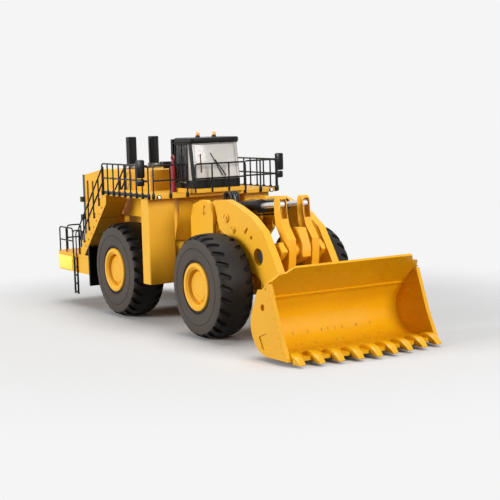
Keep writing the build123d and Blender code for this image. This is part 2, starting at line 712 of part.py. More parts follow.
def make_mirrors():
    """Upright mirror plates on arms at the front corners of the deck."""
    x = -3.0
    with BuildPart() as mirrors:
        rail = -DECK_HALF_WIDTH - RAIL_SIZE
        block(x - 1.0, x + 1.0, rail - MIRROR_WIDTH, rail - 0.8, DECK_TOP + 7.0, DECK_TOP + 26.0)
        for height in (RAIL_MIDDLE, RAIL_TOP):
            block(x - 0.8, x + 0.8, rail - 0.8, rail, height - RAIL_SIZE, height)
        mirror(about=Plane.XZ)
    return finished(mirrors.part, "mirrors")


def rail_run(start, end, foot_start, foot_end, heights, posts):
    """Add one straight run of railing: level or sloped rails on evenly spaced posts.

    start and end are (x from hitch, y); foot_start and foot_end are the heights of the feet there.
    """
    half = RAIL_SIZE / 2
    run = (end[0] - start[0], end[1] - start[1])
    length = hypot(*run)
    direction = (run[0] / length, run[1] / length, 0)
    plane = Plane(origin=(HITCH_X + start[0], start[1], 0), x_dir=direction,
                  z_dir=(direction[1], -direction[0], 0))
    slope = (foot_end - foot_start) / length
    with BuildSketch(plane.offset(-half)) as run_face:
        for post in range(posts):
            along = half + (length - RAIL_SIZE) * post / (posts - 1)
            foot = foot_start + slope * along
            with BuildLine():
                Polyline((along - half, foot - slope * half), (along + half, foot + slope * half),
                         (along + half, foot + slope * half + heights[-1]),
                         (along - half, foot - slope * half + heights[-1]), close=True)
            make_face()
        for height in heights:
            with BuildLine():
                Polyline((0, foot_start + height - RAIL_SIZE), (length, foot_end + height - RAIL_SIZE),
                         (length, foot_end + height), (0, foot_start + height), close=True)
            make_face()
    extrude(run_face.sketch, amount=RAIL_SIZE)


def make_deck_railing():
    """Railings bolted to the edge of the deck, along its sides, its front corners and in front of the cab."""
    side = -DECK_HALF_WIDTH - RAIL_SIZE / 2
    heights = (TOE_RAIL, RAIL_MIDDLE - DECK_BOTTOM, RAIL_TOP - DECK_BOTTOM)
    over_plinth = (RAIL_MIDDLE - DECK_TOP, RAIL_TOP - DECK_TOP)
    corner = DECK_FRONT + RAIL_SIZE / 2
    plinth = CAB_FRONT + PLINTH_OVERHANG + RAIL_SIZE / 2
    margin = PLINTH_HALF_WIDTH
    with BuildPart() as railing:
        rail_run((DECK_REAR, side), (DECK_FRONT - 1.0, side), DECK_BOTTOM, DECK_BOTTOM, heights, 9)
        rail_run((corner, side + 2.2), (corner, -margin - 2.0), DECK_BOTTOM, DECK_BOTTOM, heights, 3)
        mirror(about=Plane.XZ)
        rail_run((plinth, -margin), (plinth, margin), DECK_TOP, DECK_TOP, over_plinth, 4)
    return finished(railing.part, "deck_railing")


def make_stair_railing():
    """Sloped handrails on both sides of each stair flight."""
    foot, head = stair_line()
    heights = (STAIR_RAIL_HEIGHT / 2, STAIR_RAIL_HEIGHT)
    with BuildPart() as railing:
        for y in (-STAIR_OUTER - RAIL_SIZE / 2, -STAIR_INNER + RAIL_SIZE / 2):
            rail_run((foot[0] + 1.0, y), (head[0] - 1.0, y), foot[1], head[1] - 1.0, heights, 5)
        mirror(about=Plane.XZ)
    return finished(railing.part, "stair_railing")


def make_platform_railing():
    """Low railings round the rear corners of the platform."""
    y = -BUMPER_HALF_WIDTH + RAIL_SIZE / 2
    heights = (PLATFORM_RAIL_HEIGHT / 2, PLATFORM_RAIL_HEIGHT)
    rear = -REAR_REACH
    with BuildPart() as railing:
        rail_run((rear + 6.0, y), (BUMPER_FRONT - 30.0, y), PLATFORM_TOP, PLATFORM_TOP, heights, 3)
        rail_run((rear + RAIL_SIZE / 2, y + 9.0), (rear + RAIL_SIZE / 2, -HOOD_HALF_WIDTH),
                 PLATFORM_TOP, PLATFORM_TOP, heights, 2)
        mirror(about=Plane.XZ)
    return finished(railing.part, "platform_railing")


def make_ladders():
    """Short boarding ladders that hang from the bumper's sides."""
    width = 6.0
    x = BUMPER_FRONT - 27.0
    y = -BUMPER_HALF_WIDTH
    rungs = 5
    with BuildPart() as ladders:
        for offset in (0.0, width):
            block(x + offset, x + offset + 1.2, y - 1.4, y, LADDER_BOTTOM, BUMPER_TOP)
        for rung in range(rungs):
            z = LADDER_BOTTOM + 1.0 + rung * (BUMPER_TOP - LADDER_BOTTOM - 3.0) / (rungs - 1)
            block(x, x + width + 1.2, y - 1.4, y, z, z + 1.2)
        mirror(about=Plane.XZ)
    return finished(ladders.part, "boarding_ladders")


def make_front_frame():
    """Front frame: a narrow spine with two pairs of tower plates that hold the arm pin."""
    axle_x = WHEELBASE / 2
    spine = SPINE_HALF_WIDTH
    lower_tongue = HITCH_BOTTOM + HITCH_LUG + RUNNING_GAP
    upper_tongue = HITCH_TOP - HITCH_LUG - RUNNING_GAP - HITCH_TONGUE
    arch = DIFFERENTIAL_DIAMETER / 2 + AXLE_CLEARANCE
    ear_x, ear_z = TOWER_PIN
    ear_rear = ear_x - 20.0
    ear_front = ear_x - 4.0
    ear = [(ear_rear, 46.0), (ear_rear, ear_z - 6.0), (ear_x - 16.0, ear_z + 4.0), (ear_front, ear_z + 7.8),
           (ear_x + 4.0, ear_z + 7.8), (ear_x + 9.0, ear_z + 4.0), (ear_x + 12.0, ear_z - 2.0),
           (ear_x + 12.0, ear_z - 15.0), (ear_front, 56.0), (ear_front, 46.0)]
    inner_ear = [(ear_rear, 62.0), (ear_rear, ear_z - 6.0), (ear_x - 16.0, ear_z + 4.0), (ear_front, ear_z + 6.0),
                 (ear_x + 4.0, ear_z + 6.0), (ear_x + 7.0, ear_z + 2.0), (ear_x + 7.0, ear_z - 8.0),
                 (ear_front, 62.0)]
    with BuildPart() as frame:
        hitch_lug(lower_tongue, lower_tongue + HITCH_TONGUE, SPINE_REAR)
        hitch_lug(upper_tongue, upper_tongue + HITCH_TONGUE, SPINE_REAR)
        plate([(SPINE_REAR, lower_tongue), (SPINE_REAR, SPINE_TOP), (26.0, SPINE_TOP), (27.0, SPINE_SHELF),
               (axle_x + 16.0, SPINE_SHELF), (axle_x + 16.0, 30.0), (axle_x - 14.0, lower_tongue)], -spine, spine)
        for side in (-1, 1):
            block(ear_rear, ear_front, *across(side, spine, TOWER_OUTER), 46.0, 66.0)
            plate(ear, *across(side, TOWER_OUTER - TOWER_PLATE, TOWER_OUTER))
            plate(inner_ear, *across(side, TOWER_INNER, TOWER_INNER + HINGE_PLATE))
            cross_bar(LIFT_BASE, MAIN_PIN_RADIUS, *across(side, spine, LIFT_Y + LIFT_WIDTH / 2 + 1.0))
        cross_bar(TOWER_PIN, MAIN_PIN_RADIUS, -TOWER_OUTER - 0.6, TOWER_OUTER + 0.6)
        upright(0.0, 0.0, HITCH_PIN_DIAMETER / 2 + PIN_GAP, lower_tongue, HITCH_TOP, mode=Mode.SUBTRACT)
        block(axle_x - arch, axle_x + arch, -spine, spine, AXLE_Z - arch, AXLE_Z, mode=Mode.SUBTRACT)
        cross_bar((axle_x, AXLE_Z), arch, -spine, spine, mode=Mode.SUBTRACT)
        for side in (-1, 1):
            block(axle_x - AXLE_DIAMETER / 2, axle_x + AXLE_DIAMETER / 2,
                  *across(side, DIFFERENTIAL_WIDTH / 2 + 2 * RUNNING_GAP, spine),
                  AXLE_Z + AXLE_DIAMETER / 2, SPINE_SHELF)
    return finished(frame.part, "front_frame")


def make_boom():
    """Loader arms: two cranked plates joined by the cross tube that carries the tilt levers."""
    pin_x, pin_z = BUCKET_PIN
    arm = [(42.6, 93.7), (59.4, 94.8), (75.3, 90.8), (91.9, 84.8), (106.6, 75.6), (118.1, 59.1), (124.0, 49.7),
           (pin_x + 1.0, pin_z + 6.4), (pin_x - 6.0, pin_z - 2.0), (112.0, 34.0), (100.0, 44.0), (84.0, 50.0),
           (70.0, 62.0), (49.0, 74.5)]
    tongue = [(TOWER_PIN[0], TOWER_PIN[1] + 6.0), (60.0, 93.0), (60.0, 76.0),
              (TOWER_PIN[0], TOWER_PIN[1] - 6.0)]
    bracket = [(100.0, 66.0), (110.0, 77.2), (115.6, 77.2), (121.1, 65.4), (120.8, 58.0), (113.0, 54.0),
               (100.0, 50.0)]
    lug = [(100.0, 66.0), (113.0, 68.0), (119.0, 62.0), (113.0, 56.0), (100.0, 50.0)]
    slot = [(82.6, 73.6), (86.4, 77.4), (87.8, 76.0), (84.0, 72.2)]
    bosses = (((60.0, 82.3), 3.4), ((69.0, 74.8), 2.8))
    lever_gap = LEVER_INNER - RUNNING_GAP
    with BuildPart() as boom:
        for side in (-1, 1):
            arm_width = across(side, ARM_INNER, ARM_OUTER)
            plate(arm, *arm_width)
            cross_bar(BUCKET_PIN, ARM_EYE_RADIUS, *arm_width)
            for boss, radius in bosses:
                cross_bar(boss, radius, *across(side, ARM_OUTER, ARM_OUTER + 0.7))
                cross_bar(boss, radius * 0.45, *across(side, ARM_OUTER, ARM_OUTER + 1.4))
            recess = across(side, ARM_OUTER - 1.6, ARM_OUTER)
            plate(slot, *recess, mode=Mode.SUBTRACT)
            cross_bar((91.8, 70.5), 1.4, *recess, mode=Mode.SUBTRACT)
            tongue_width = across(side, ARM_INNER, TONGUE_OUTER)
            plate(tongue, *tongue_width)
            cross_bar(TOWER_PIN, 6.0, *tongue_width)
            plate(lug, *across(side, LEVER_OUTER + RUNNING_GAP + 1.0, LEVER_LUG))
        cross_bar(CROSS_TUBE, CROSS_TUBE_RADIUS, -ARM_OUTER, ARM_OUTER)
        plate(bracket, -BRACKET_HALF_WIDTH, BRACKET_HALF_WIDTH)
        cross_bar(LEVER_PIN, 2 * MAIN_PIN_RADIUS, -lever_gap, lever_gap)
        cross_bar(LEVER_PIN, MAIN_PIN_RADIUS, -LEVER_LUG, LEVER_LUG)
        cross_bar(CROSS_TUBE, CROSS_TUBE_BORE, -ARM_OUTER, ARM_OUTER, mode=Mode.SUBTRACT)
        for pin in (TOWER_PIN, BUCKET_PIN):
            cross_bar(pin, MAIN_PIN_RADIUS + PIN_GAP, -ARM_OUTER, ARM_OUTER, mode=Mode.SUBTRACT)
    return finished(boom.part, "boom")


def make_levers():
    """Tilt levers: a slotted head for the cylinder rod above and a hooked foot for the link below."""
    c_x, c_z = LEVER_PIN
    d_x, d_z = LEVER_HEAD
    e_x, e_z = LEVER_FOOT
    outline = [(d_x - 3.6, d_z + 2.4), (d_x - 1.8, d_z + 5.2), (d_x + 1.8, d_z + 5.2), (d_x + 3.6, d_z + 2.4),
               (d_x + 4.0, d_z - 6.0), (d_x + 6.4, d_z - 14.0), (c_x + 5.0, c_z + 8.0), (c_x + 5.4, c_z + 1.0),
               (c_x + 4.4, c_z - 8.0), (e_x + 4.4, e_z), (e_x + 2.0, e_z - 4.2), (e_x - 2.0, e_z - 4.2),
               (e_x - 4.2, e_z), (c_x - 4.0, c_z - 10.0), (c_x - 5.2, c_z + 1.0), (c_x - 5.0, c_z + 8.0),
               (d_x - 2.2, d_z - 14.0), (d_x - 3.4, d_z - 6.0)]
    with BuildPart() as levers:
        plate(outline, -LEVER_OUTER, -LEVER_INNER)
        slot = TILT_ROD_RADIUS + 0.4
        block(d_x - 8.0, d_x + 8.0, -LEVER_Y - slot, -LEVER_Y + slot, d_z - 9.5, d_z + 3.6, mode=Mode.SUBTRACT)
        cross_bar(LEVER_PIN, MAIN_PIN_RADIUS + PIN_GAP, -LEVER_OUTER, -LEVER_INNER, mode=Mode.SUBTRACT)
        mirror(about=Plane.XZ)
    return finished(levers.part, "tilt_levers")


def make_links():
    """Tilt links: paired plates on each side of the lever's foot and the bucket's lug."""
    e_x, e_z = LEVER_FOOT
    f_x, f_z = LINK_PIN
    round_end = LINK_EYE_RADIUS
    nose = round_end * 0.42
    bar = [(e_x - round_end, e_z - nose), (e_x - nose, e_z - round_end), (f_x + nose, f_z - round_end),
           (f_x + round_end, f_z - nose), (f_x + round_end, f_z + nose), (f_x + nose, f_z + round_end),
           (e_x - nose, e_z + round_end), (e_x - round_end, e_z + nose)]
    inner = (LEVER_INNER - RUNNING_GAP - LINK_PLATE, LEVER_INNER - RUNNING_GAP)
    outer = (LEVER_OUTER + RUNNING_GAP, LEVER_OUTER + RUNNING_GAP + LINK_PLATE)
    with BuildPart() as links:
        for low, high in (inner, outer):
            plate(bar, -high, -low)
        cross_bar(LINK_PIN, LINK_PIN_RADIUS, -outer[1], -inner[0])
        mirror(about=Plane.XZ)
    return finished(links.part, "tilt_links")


def cylinder_plane(base, eye, y):
    """Plane across a hydraulic cylinder at its base pin; its normal runs to the rod's eye."""
    angle = atan2(eye[1] - base[1], eye[0] - base[0])
    return Plane(origin=(HITCH_X + base[0], y, base[1]), x_dir=(0, 1, 0), z_dir=(cos(angle), 0, sin(angle)))


def make_barrels(name, base, eye, y, width, radius, rod_radius, length):
    """Pair of cylinder barrels: a base eye, a tube and a blind bore for the rod."""
    plane = cylinder_plane(base, eye, -y)
    eye_radius = MAIN_PIN_RADIUS + 2.0
    blind = eye_radius + 1.5
    with BuildPart() as barrels:
        with BuildSketch(plane):
            RegularPolygon(radius, BAR_FACETS)
        extrude(amount=length)
        cross_bar(base, eye_radius, -y - width / 2, -y + width / 2)
        cross_bar(base, MAIN_PIN_RADIUS + PIN_GAP, -y - width, -y + width, mode=Mode.SUBTRACT)
        with BuildSketch(plane.offset(blind)):
            RegularPolygon(rod_radius + PIN_GAP, BAR_FACETS)
        extrude(amount=length - blind, mode=Mode.SUBTRACT)
        mirror(about=Plane.XZ)
    return finished(barrels.part, name)


def make_rods(name, base, eye, y, width, rod_radius, eye_radius, start):
    """Pair of chromed rods with an eye at the outer end."""
    plane = cylinder_plane(base, eye, -y)
    length = hypot(eye[0] - base[0], eye[1] - base[1])
    with BuildPart() as rods:
        with BuildSketch(plane.offset(start)):
            RegularPolygon(rod_radius, BAR_FACETS)
        extrude(amount=length - start)
        cross_bar(eye, eye_radius, -y - width / 2, -y + width / 2)
        mirror(about=Plane.XZ)
    return finished(rods.part, name)


def on_heel(radius, angle):
    """Point of the bucket's round heel at a radius and an angle, as (x from hitch, z)."""
    return (BUCKET_HEEL[0] + radius * cos(angle), BUCKET_HEEL[1] + radius * sin(angle))


def bucket_wall():
    """Add the bucket's bent wall: floor, round heel, back and spill plate."""
    inner = BUCKET_HEEL_RADIUS
    turn = radians(BUCKET_BACK_ANGLE)
    down = 1.5 * pi
    middle = (turn + down) / 2
    run = (SPILL_LIP[0] - BUCKET_CREASE[0], SPILL_LIP[1] - BUCKET_CREASE[1])
    taper = BUCKET_WALL * 0.8 / hypot(*run)
    lip_back = (SPILL_LIP[0] - run[1] * taper, SPILL_LIP[1] + run[0] * taper)
    crease_back = (BUCKET_CREASE[0] - BUCKET_WALL * 1.1, BUCKET_CREASE[1] + BUCKET_WALL * 0.2)
    floor_top = on_heel(inner, down)
    floor_bottom = on_heel(BUCKET_BACK, down)
    with BuildSketch(Plane.XZ.offset(-BUCKET_HALF_WIDTH)) as wall:
        with BuildLine():
            Polyline(*at_hitch([lip_back, SPILL_LIP, BUCKET_CREASE, on_heel(inner, turn)]))
            ThreePointArc(*at_hitch([on_heel(inner, turn), on_heel(inner, middle), floor_top]))
            Polyline(*at_hitch([floor_top, (EDGE_REAR, floor_top[1]), (EDGE_REAR, BUCKET_BOTTOM), floor_bottom]))
            ThreePointArc(*at_hitch([floor_bottom, on_heel(BUCKET_BACK, middle), on_heel(BUCKET_BACK, turn)]))
            Polyline(*at_hitch([on_heel(BUCKET_BACK, turn), crease_back, lip_back]))
        make_face()
    extrude(wall.sketch, amount=2 * BUCKET_HALF_WIDTH)


def bucket_side(side):
    """Add one side plate with its cutter strip, wear recess and eye, and notch the spill plate's corner."""
    half = BUCKET_HALF_WIDTH
    edge_top = BUCKET_BOTTOM + EDGE_THICKNESS
    shoulder = (165.6, 49.6)
    knee = (175.8, 22.0)
    outline = [(151.4, 44.6), (160.4, 45.3), shoulder, knee, (EDGE_SIDE, edge_top),
               (EDGE_SIDE - 2.0, BUCKET_BOTTOM), (BUCKET_HEEL[0], BUCKET_BOTTOM),
               on_heel(BUCKET_BACK, 1.35 * pi), on_heel(BUCKET_BACK, 1.2 * pi), on_heel(BUCKET_BACK, 1.05 * pi),
               on_heel(BUCKET_BACK, radians(BUCKET_BACK_ANGLE) + 0.25)]
    cutter = [shoulder, knee, (EDGE_SIDE, edge_top), (EDGE_SIDE - 5.0, edge_top), (knee[0] - 4.2, knee[1] - 1.0),
              (shoulder[0] - 3.2, shoulder[1] - 2.8)]
    recess = [(151.5, 14.6), (159.8, 18.0), (167.2, 14.2), (165.4, 7.4), (155.6, 7.2)]
    above = SPILL_LIP[1] + 3.0
    notch = [(SPILL_HALF_WIDTH, above), (SPILL_HALF_WIDTH, SPILL_LIP[1]), (SPILL_HALF_WIDTH + 3.5, 56.0),
             (half - 4.5, 55.4), (half - 1.5, 51.2), (half + 1.0, 50.6), (half + 1.0, above)]
    wall = across(side, half - BUCKET_WALL, half)
    plate(outline, *wall)
    front_plate([(side * y, z) for y, z in notch], 160.0, SPILL_LIP[0] + 3.0, mode=Mode.SUBTRACT)
    plate(cutter, *across(side, half, half + SIDE_CUTTER))
    plate(recess, *across(side, half - WEAR_RECESS, half), mode=Mode.SUBTRACT)
    cross_bar((156.8, 33.8), 2.2, *wall, mode=Mode.SUBTRACT)


def bucket_lugs(side):
    """Add one side's hinge lugs with their pin, and the lug of the tilt link."""
    b_x, b_z = BUCKET_PIN
    f_x, f_z = LINK_PIN
    back_x = on_heel(BUCKET_BACK, pi)[0]
    hinge = [(b_x, b_z + BUCKET_EYE_RADIUS), (back_x + 1.0, 28.0), (back_x + 3.0, 10.0),
             (b_x, b_z - BUCKET_EYE_RADIUS)]
    ear = [(f_x, f_z + LINK_EYE_RADIUS), (149.0, 40.0), (back_x + 1.0, 22.0), (f_x, f_z - LINK_EYE_RADIUS)]
    for inner in (ARM_INNER - RUNNING_GAP - HINGE_PLATE, ARM_OUTER + RUNNING_GAP):
        width = across(side, inner, inner + HINGE_PLATE)
        plate(hinge, *width)
        cross_bar(BUCKET_PIN, BUCKET_EYE_RADIUS, *width)
    cross_bar(BUCKET_PIN, MAIN_PIN_RADIUS, *across(side, ARM_INNER - RUNNING_GAP, ARM_OUTER + RUNNING_GAP))
    width = across(side, LEVER_INNER, LEVER_OUTER)
    plate(ear, *width)
    cross_bar(LINK_PIN, LINK_EYE_RADIUS, *width)
    cross_bar(LINK_PIN, LINK_PIN_RADIUS + PIN_GAP, *width, mode=Mode.SUBTRACT)


def make_bucket():
    """Rock bucket: curled wall with a bead at its crease, side plates, hinge lugs and a spade cutting edge."""
    half = BUCKET_HALF_WIDTH
    c_x, c_z = BUCKET_CREASE
    bead = [(c_x - 0.6, c_z - 0.6), (c_x + 0.9, c_z - 0.7), (c_x + 1.8, c_z + 0.4), (c_x + 0.6, c_z + 1.2)]
    spade = [(EDGE_REAR, -half), (EDGE_SIDE, -half), (EDGE_CENTRE, 0.0), (EDGE_SIDE, half), (EDGE_REAR, half)]
    with BuildPart() as bucket:
        bucket_wall()
        plate(bead, -half + BUCKET_WALL, half - BUCKET_WALL)
        for side in (-1, 1):
            bucket_side(side)
            bucket_lugs(side)
        plan_plate(spade, BUCKET_BOTTOM, BUCKET_BOTTOM + EDGE_THICKNESS)
    return finished(bucket.part, "bucket")


def make_teeth():
    """Row of wedge teeth strapped on the cutting edge, longest in the middle."""
    bottom = BUCKET_BOTTOM
    top = bottom + EDGE_THICKNESS + SEAT_GAP
    slant = (EDGE_SIDE - EDGE_CENTRE) / BUCKET_HALF_WIDTH
    with BuildPart() as teeth:
        for tooth in range(TEETH):
            y = (tooth - (TEETH - 1) / 2) * TOOTH_PITCH
            sides = (max(abs(y) - TOOTH_WIDTH / 2, 0.0), abs(y) + TOOTH_WIDTH / 2)
            edge = max(EDGE_CENTRE + slant * out for out in sides) + SEAT_GAP
            tip = edge + TOOTH_LENGTH
            rear = edge - TOOTH_STRAP
            nose = edge + TOOTH_LENGTH * 0.4
            plate([(nose, bottom - 1.0), (nose, top + 0.6), (edge + 0.6, top + 1.8), (edge - 2.0, top + 2.6),
                   (rear + 3.0, top + 2.4), (rear, top + 1.0), (rear, top), (edge, top), (edge, bottom - 1.0)],
                  y - TOOTH_WIDTH / 2, y + TOOTH_WIDTH / 2)
            plate([(tip, bottom - 1.4), (tip, bottom - 0.6), (nose, top + 0.3), (nose, bottom - 1.0)],
                  y - TOOTH_TIP_WIDTH / 2, y + TOOTH_TIP_WIDTH / 2)
    return finished(teeth.part, "bucket_teeth")


def make_hoses():
    """Hydraulic hoses that rise from the front frame's spine and loop forward over the arm pin."""
    pin_x, pin_z = TOWER_PIN
    rear = pin_x - 10.0
    landing = pin_z + MAIN_PIN_RADIUS
    path = [(rear, SPINE_TOP), (rear, HOSE_TOP - 4.0), (rear + 2.4, HOSE_TOP - 1.0), (pin_x - 4.0, HOSE_TOP),
            (pin_x - 0.6, HOSE_TOP - 3.0), (pin_x, landing)]
    with BuildPart() as hoses:
        for y in (-3.3, -1.1, 1.1, 3.3):
            points = [(HITCH_X + x, y, z) for x, z in path]
            with BuildLine() as route:
                Polyline(*points)
            with BuildSketch(Plane(origin=points[0], z_dir=(0, 0, 1))):
                RegularPolygon(HOSE_RADIUS, 6)
            sweep(path=route.wires()[0], transition=Transition.RIGHT)
    return finished(hoses.part, "hydraulic_hoses")


def all_pieces():
    """Build every piece of the model."""
    front_axle = WHEELBASE / 2
    pieces = [
        make_rear_frame(), make_axle("rear_axle", -front_axle), make_rear_bumper(), make_rear_platform(),
        make_stairs(), make_mudflaps(), make_side_tanks(), make_deck(), make_hood(), make_grille(), make_stacks(),
        make_collars(), make_precleaner(), make_cab_shell(), make_cab_glass(), make_cab_roof(), make_rops(),
        make_seat(), make_console(), make_beacons(), make_extinguisher(), make_mirrors(), make_deck_railing(),
        make_stair_railing(), make_platform_railing(), make_ladders(),
        make_front_frame(), make_axle("front_axle", front_axle), make_hoses(),
        make_boom(), make_levers(), make_links(), make_bucket(), make_teeth(),
        make_barrels("lift_barrels", LIFT_BASE, LIFT_EYE, LIFT_Y, LIFT_WIDTH, LIFT_BARREL_RADIUS,
                     LIFT_ROD_RADIUS, LIFT_BARREL_LENGTH),
        make_rods("lift_rods", LIFT_BASE, LIFT_EYE, LIFT_Y, LIFT_WIDTH, LIFT_ROD_RADIUS, LIFT_ROD_EYE,
                  LIFT_ROD_START),
        make_barrels("tilt_barrels", TOWER_PIN, LEVER_HEAD, LEVER_Y, LEVER_WIDTH, TILT_BARREL_RADIUS,
                     TILT_ROD_RADIUS, TILT_BARREL_LENGTH),
        make_rods("tilt_rods", TOWER_PIN, LEVER_HEAD, LEVER_Y, 2 * TILT_ROD_RADIUS - 0.4, TILT_ROD_RADIUS,
                  TILT_ROD_EYE, TILT_ROD_START),
    ]
    for place, axle_x in (("front", front_axle), ("rear", -front_axle)):
        for hand, side in (("right", -1), ("left", 1)):
            pieces.append(make_tyre(f"{place}_{hand}_tyre", axle_x, side))
            pieces.append(make_rim(f"{place}_{hand}_rim", axle_x, side))
    return pieces


os.makedirs("parts", exist_ok=True)
for piece in all_pieces():
    export_step(piece, f"parts/{piece.label}.step")
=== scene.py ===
import json
import logging
from dataclasses import dataclass
from enum import Enum
from math import cos, pi, radians, sin, tau
from typing import Any, Optional, Sequence, Union

import bpy
from mathutils import Matrix, Vector


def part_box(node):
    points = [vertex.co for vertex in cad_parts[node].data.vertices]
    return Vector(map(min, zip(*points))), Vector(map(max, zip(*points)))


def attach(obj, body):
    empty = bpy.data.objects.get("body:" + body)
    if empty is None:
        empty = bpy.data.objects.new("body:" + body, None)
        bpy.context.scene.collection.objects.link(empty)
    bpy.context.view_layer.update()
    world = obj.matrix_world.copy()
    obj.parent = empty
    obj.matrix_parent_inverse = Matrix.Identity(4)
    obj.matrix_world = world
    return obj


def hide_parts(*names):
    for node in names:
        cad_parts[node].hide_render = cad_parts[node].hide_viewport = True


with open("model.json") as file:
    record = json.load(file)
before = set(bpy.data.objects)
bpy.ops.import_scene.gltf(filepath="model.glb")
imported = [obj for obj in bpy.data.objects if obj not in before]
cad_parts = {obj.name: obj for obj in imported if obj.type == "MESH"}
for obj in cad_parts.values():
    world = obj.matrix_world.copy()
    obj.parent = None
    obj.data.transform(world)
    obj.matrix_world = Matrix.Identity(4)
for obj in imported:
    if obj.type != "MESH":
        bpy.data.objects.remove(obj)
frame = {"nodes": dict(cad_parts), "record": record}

LOG = logging.getLogger("wheel_loader")
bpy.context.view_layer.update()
Colour = tuple[float, float, float]
Point = tuple[float, float, float]
Profile = Sequence[tuple[float, float]]
Piece = bpy.types.Object
MM = 0.001
HITCH_X = -10.525  # station of the steering hitch in the frame, in millimetres
HANDS = (-1, 1)  # the machine's right side and its left side
UP: Point = (0, 0, 1)
AHEAD: Point = (1, 0, 0)
OUTWARD: Point = (0, -1, 0)  # out of a wheel on the right side
STAIR_SOFFIT: Point = (0.7071, 0, -0.7071)  # out of the underside of the stairs
SHARP = 35.0  # angle, in degrees, from which an edge is rounded or shaded crisp
AXIS = 0.001  # radius, in millimetres, that a turned profile closes at


class Body(str, Enum):
    """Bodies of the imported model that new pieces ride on."""

    REAR = "rear"
    FRONT = "front"
    BOOM = "boom"
    BUCKET = "bucket"
    LIFT_BARRELS = "lift_barrels"
    TILT_BARRELS = "tilt_barrels"


class Pattern(Enum):
    """How a finish varies over its surface."""

    PAINT = "paint"
    SCUFFED = "scuffed"
    RUBBER = "rubber"
    METAL = "metal"
    MOULDED = "moulded"
    CLEAR = "clear"


def linear(red: int, green: int, blue: int) -> Colour:
    """Turn a display colour into linear light.

    Args:
        red: Red from 0 to 255.
        green: Green from 0 to 255.
        blue: Blue from 0 to 255.

    Returns:
        The colour in linear light, each part from 0 to 1.
    """
    parts = (red / 255, green / 255, blue / 255)
    return tuple(p / 12.92 if p <= 0.04045 else ((p + 0.055) / 1.055) ** 2.4 for p in parts)


def at(x: float, y: float, z: float) -> Vector:
    """Point of the frame, in metres, from millimetres measured along the machine from its hitch."""
    return Vector((HITCH_X + x, y, z)) * MM


def facing(place: Vector, way: Point) -> Matrix:
    """Matrix that sets a piece made upright at the origin on a place, its top turned one way."""
    turn = Vector(UP).rotation_difference(Vector(way)).to_matrix()
    return Matrix.Translation(place) @ turn.to_4x4()


def sides(x: float, y: float, z: float, out: int = 1) -> list[Matrix]:
    """Places on both sides of the machine, turned outward, or inward where out is -1."""
    return [facing(at(x, hand * y, z), (0, out * hand, 0)) for hand in HANDS]


def circle(x: float, y: float, z: float, radius: float, steps: int) -> list[Vector]:
    """Closed loop in an upright plane along the machine.

    Args:
        x: Station of its middle from the hitch, in millimetres.
        y: Its distance from the machine's middle.
        z: Height of its middle.
        radius: Its radius.
        steps: Points round it.

    Returns:
        The loop in metres.
    """
    turns = [tau * step / steps for step in range(steps + 1)]
    return [at(x + radius * cos(turn), y, z + radius * sin(turn)) for turn in turns]


def rounded(points: Sequence[Point], radius: float, steps: int = 4) -> list[Vector]:
    """Round the inner corners of a path.

    Args:
        points: Corners of the path, in millimetres from the hitch.
        radius: Distance from a corner at which its curve begins.
        steps: Points along each curve.

    Returns:
        The path in metres.
    """
    path = [at(*point) for point in points]
    made = [path[0]]
    for before, corner, after in zip(path, path[1:], path[2:]):
        reach = min(radius * MM, (before - corner).length / 2, (after - corner).length / 2)
        start = corner + (before - corner).normalized() * reach
        end = corner + (after - corner).normalized() * reach
        for step in range(steps + 1):
            t = step / steps
            made.append(start * (1 - t) ** 2 + corner * 2 * t * (1 - t) + end * t ** 2)
    return made + [path[-1]]


class Wire:
    """A shader socket that takes part in Python expressions."""

    def __init__(self, graph: "Graph", socket: bpy.types.NodeSocket) -> None:
        """Keep the socket and the graph it belongs to."""
        self.graph = graph
        self.socket = socket

    def maths(self, operation: str, first: "Value", second: "Value") -> "Wire":
        """Add one Math node.

        Args:
            operation: The Math node's operation.
            first: Value of the first socket.
            second: Value of the second socket.

        Returns:
            The node's result.
        """
        return self.graph.node("ShaderNodeMath", {"operation": operation}, {0: first, 1: second})

    def __add__(self, other: "Value") -> "Wire":
        """Sum of two values."""
        return self.maths("ADD", self, other)

    def __radd__(self, other: "Value") -> "Wire":
        """Sum of two values."""
        return self.maths("ADD", other, self)

    def __mul__(self, other: "Value") -> "Wire":
        """Product of two values."""
        return self.maths("MULTIPLY", self, other)

    def over(self, limit: float, soft: float) -> "Wire":
        """Mask that rises from 0 to 1 around a limit.

        Args:
            limit: Value at the middle of the rise.
            soft: Width of the rise.

        Returns:
            The mask.
        """
        ends = {"From Min": limit - soft / 2, "From Max": limit + soft / 2}
        return self.graph.node("ShaderNodeMapRange", {"interpolation_type": "SMOOTHSTEP"},
                               {"Value": self, **ends})


Value = Union[Wire, float]


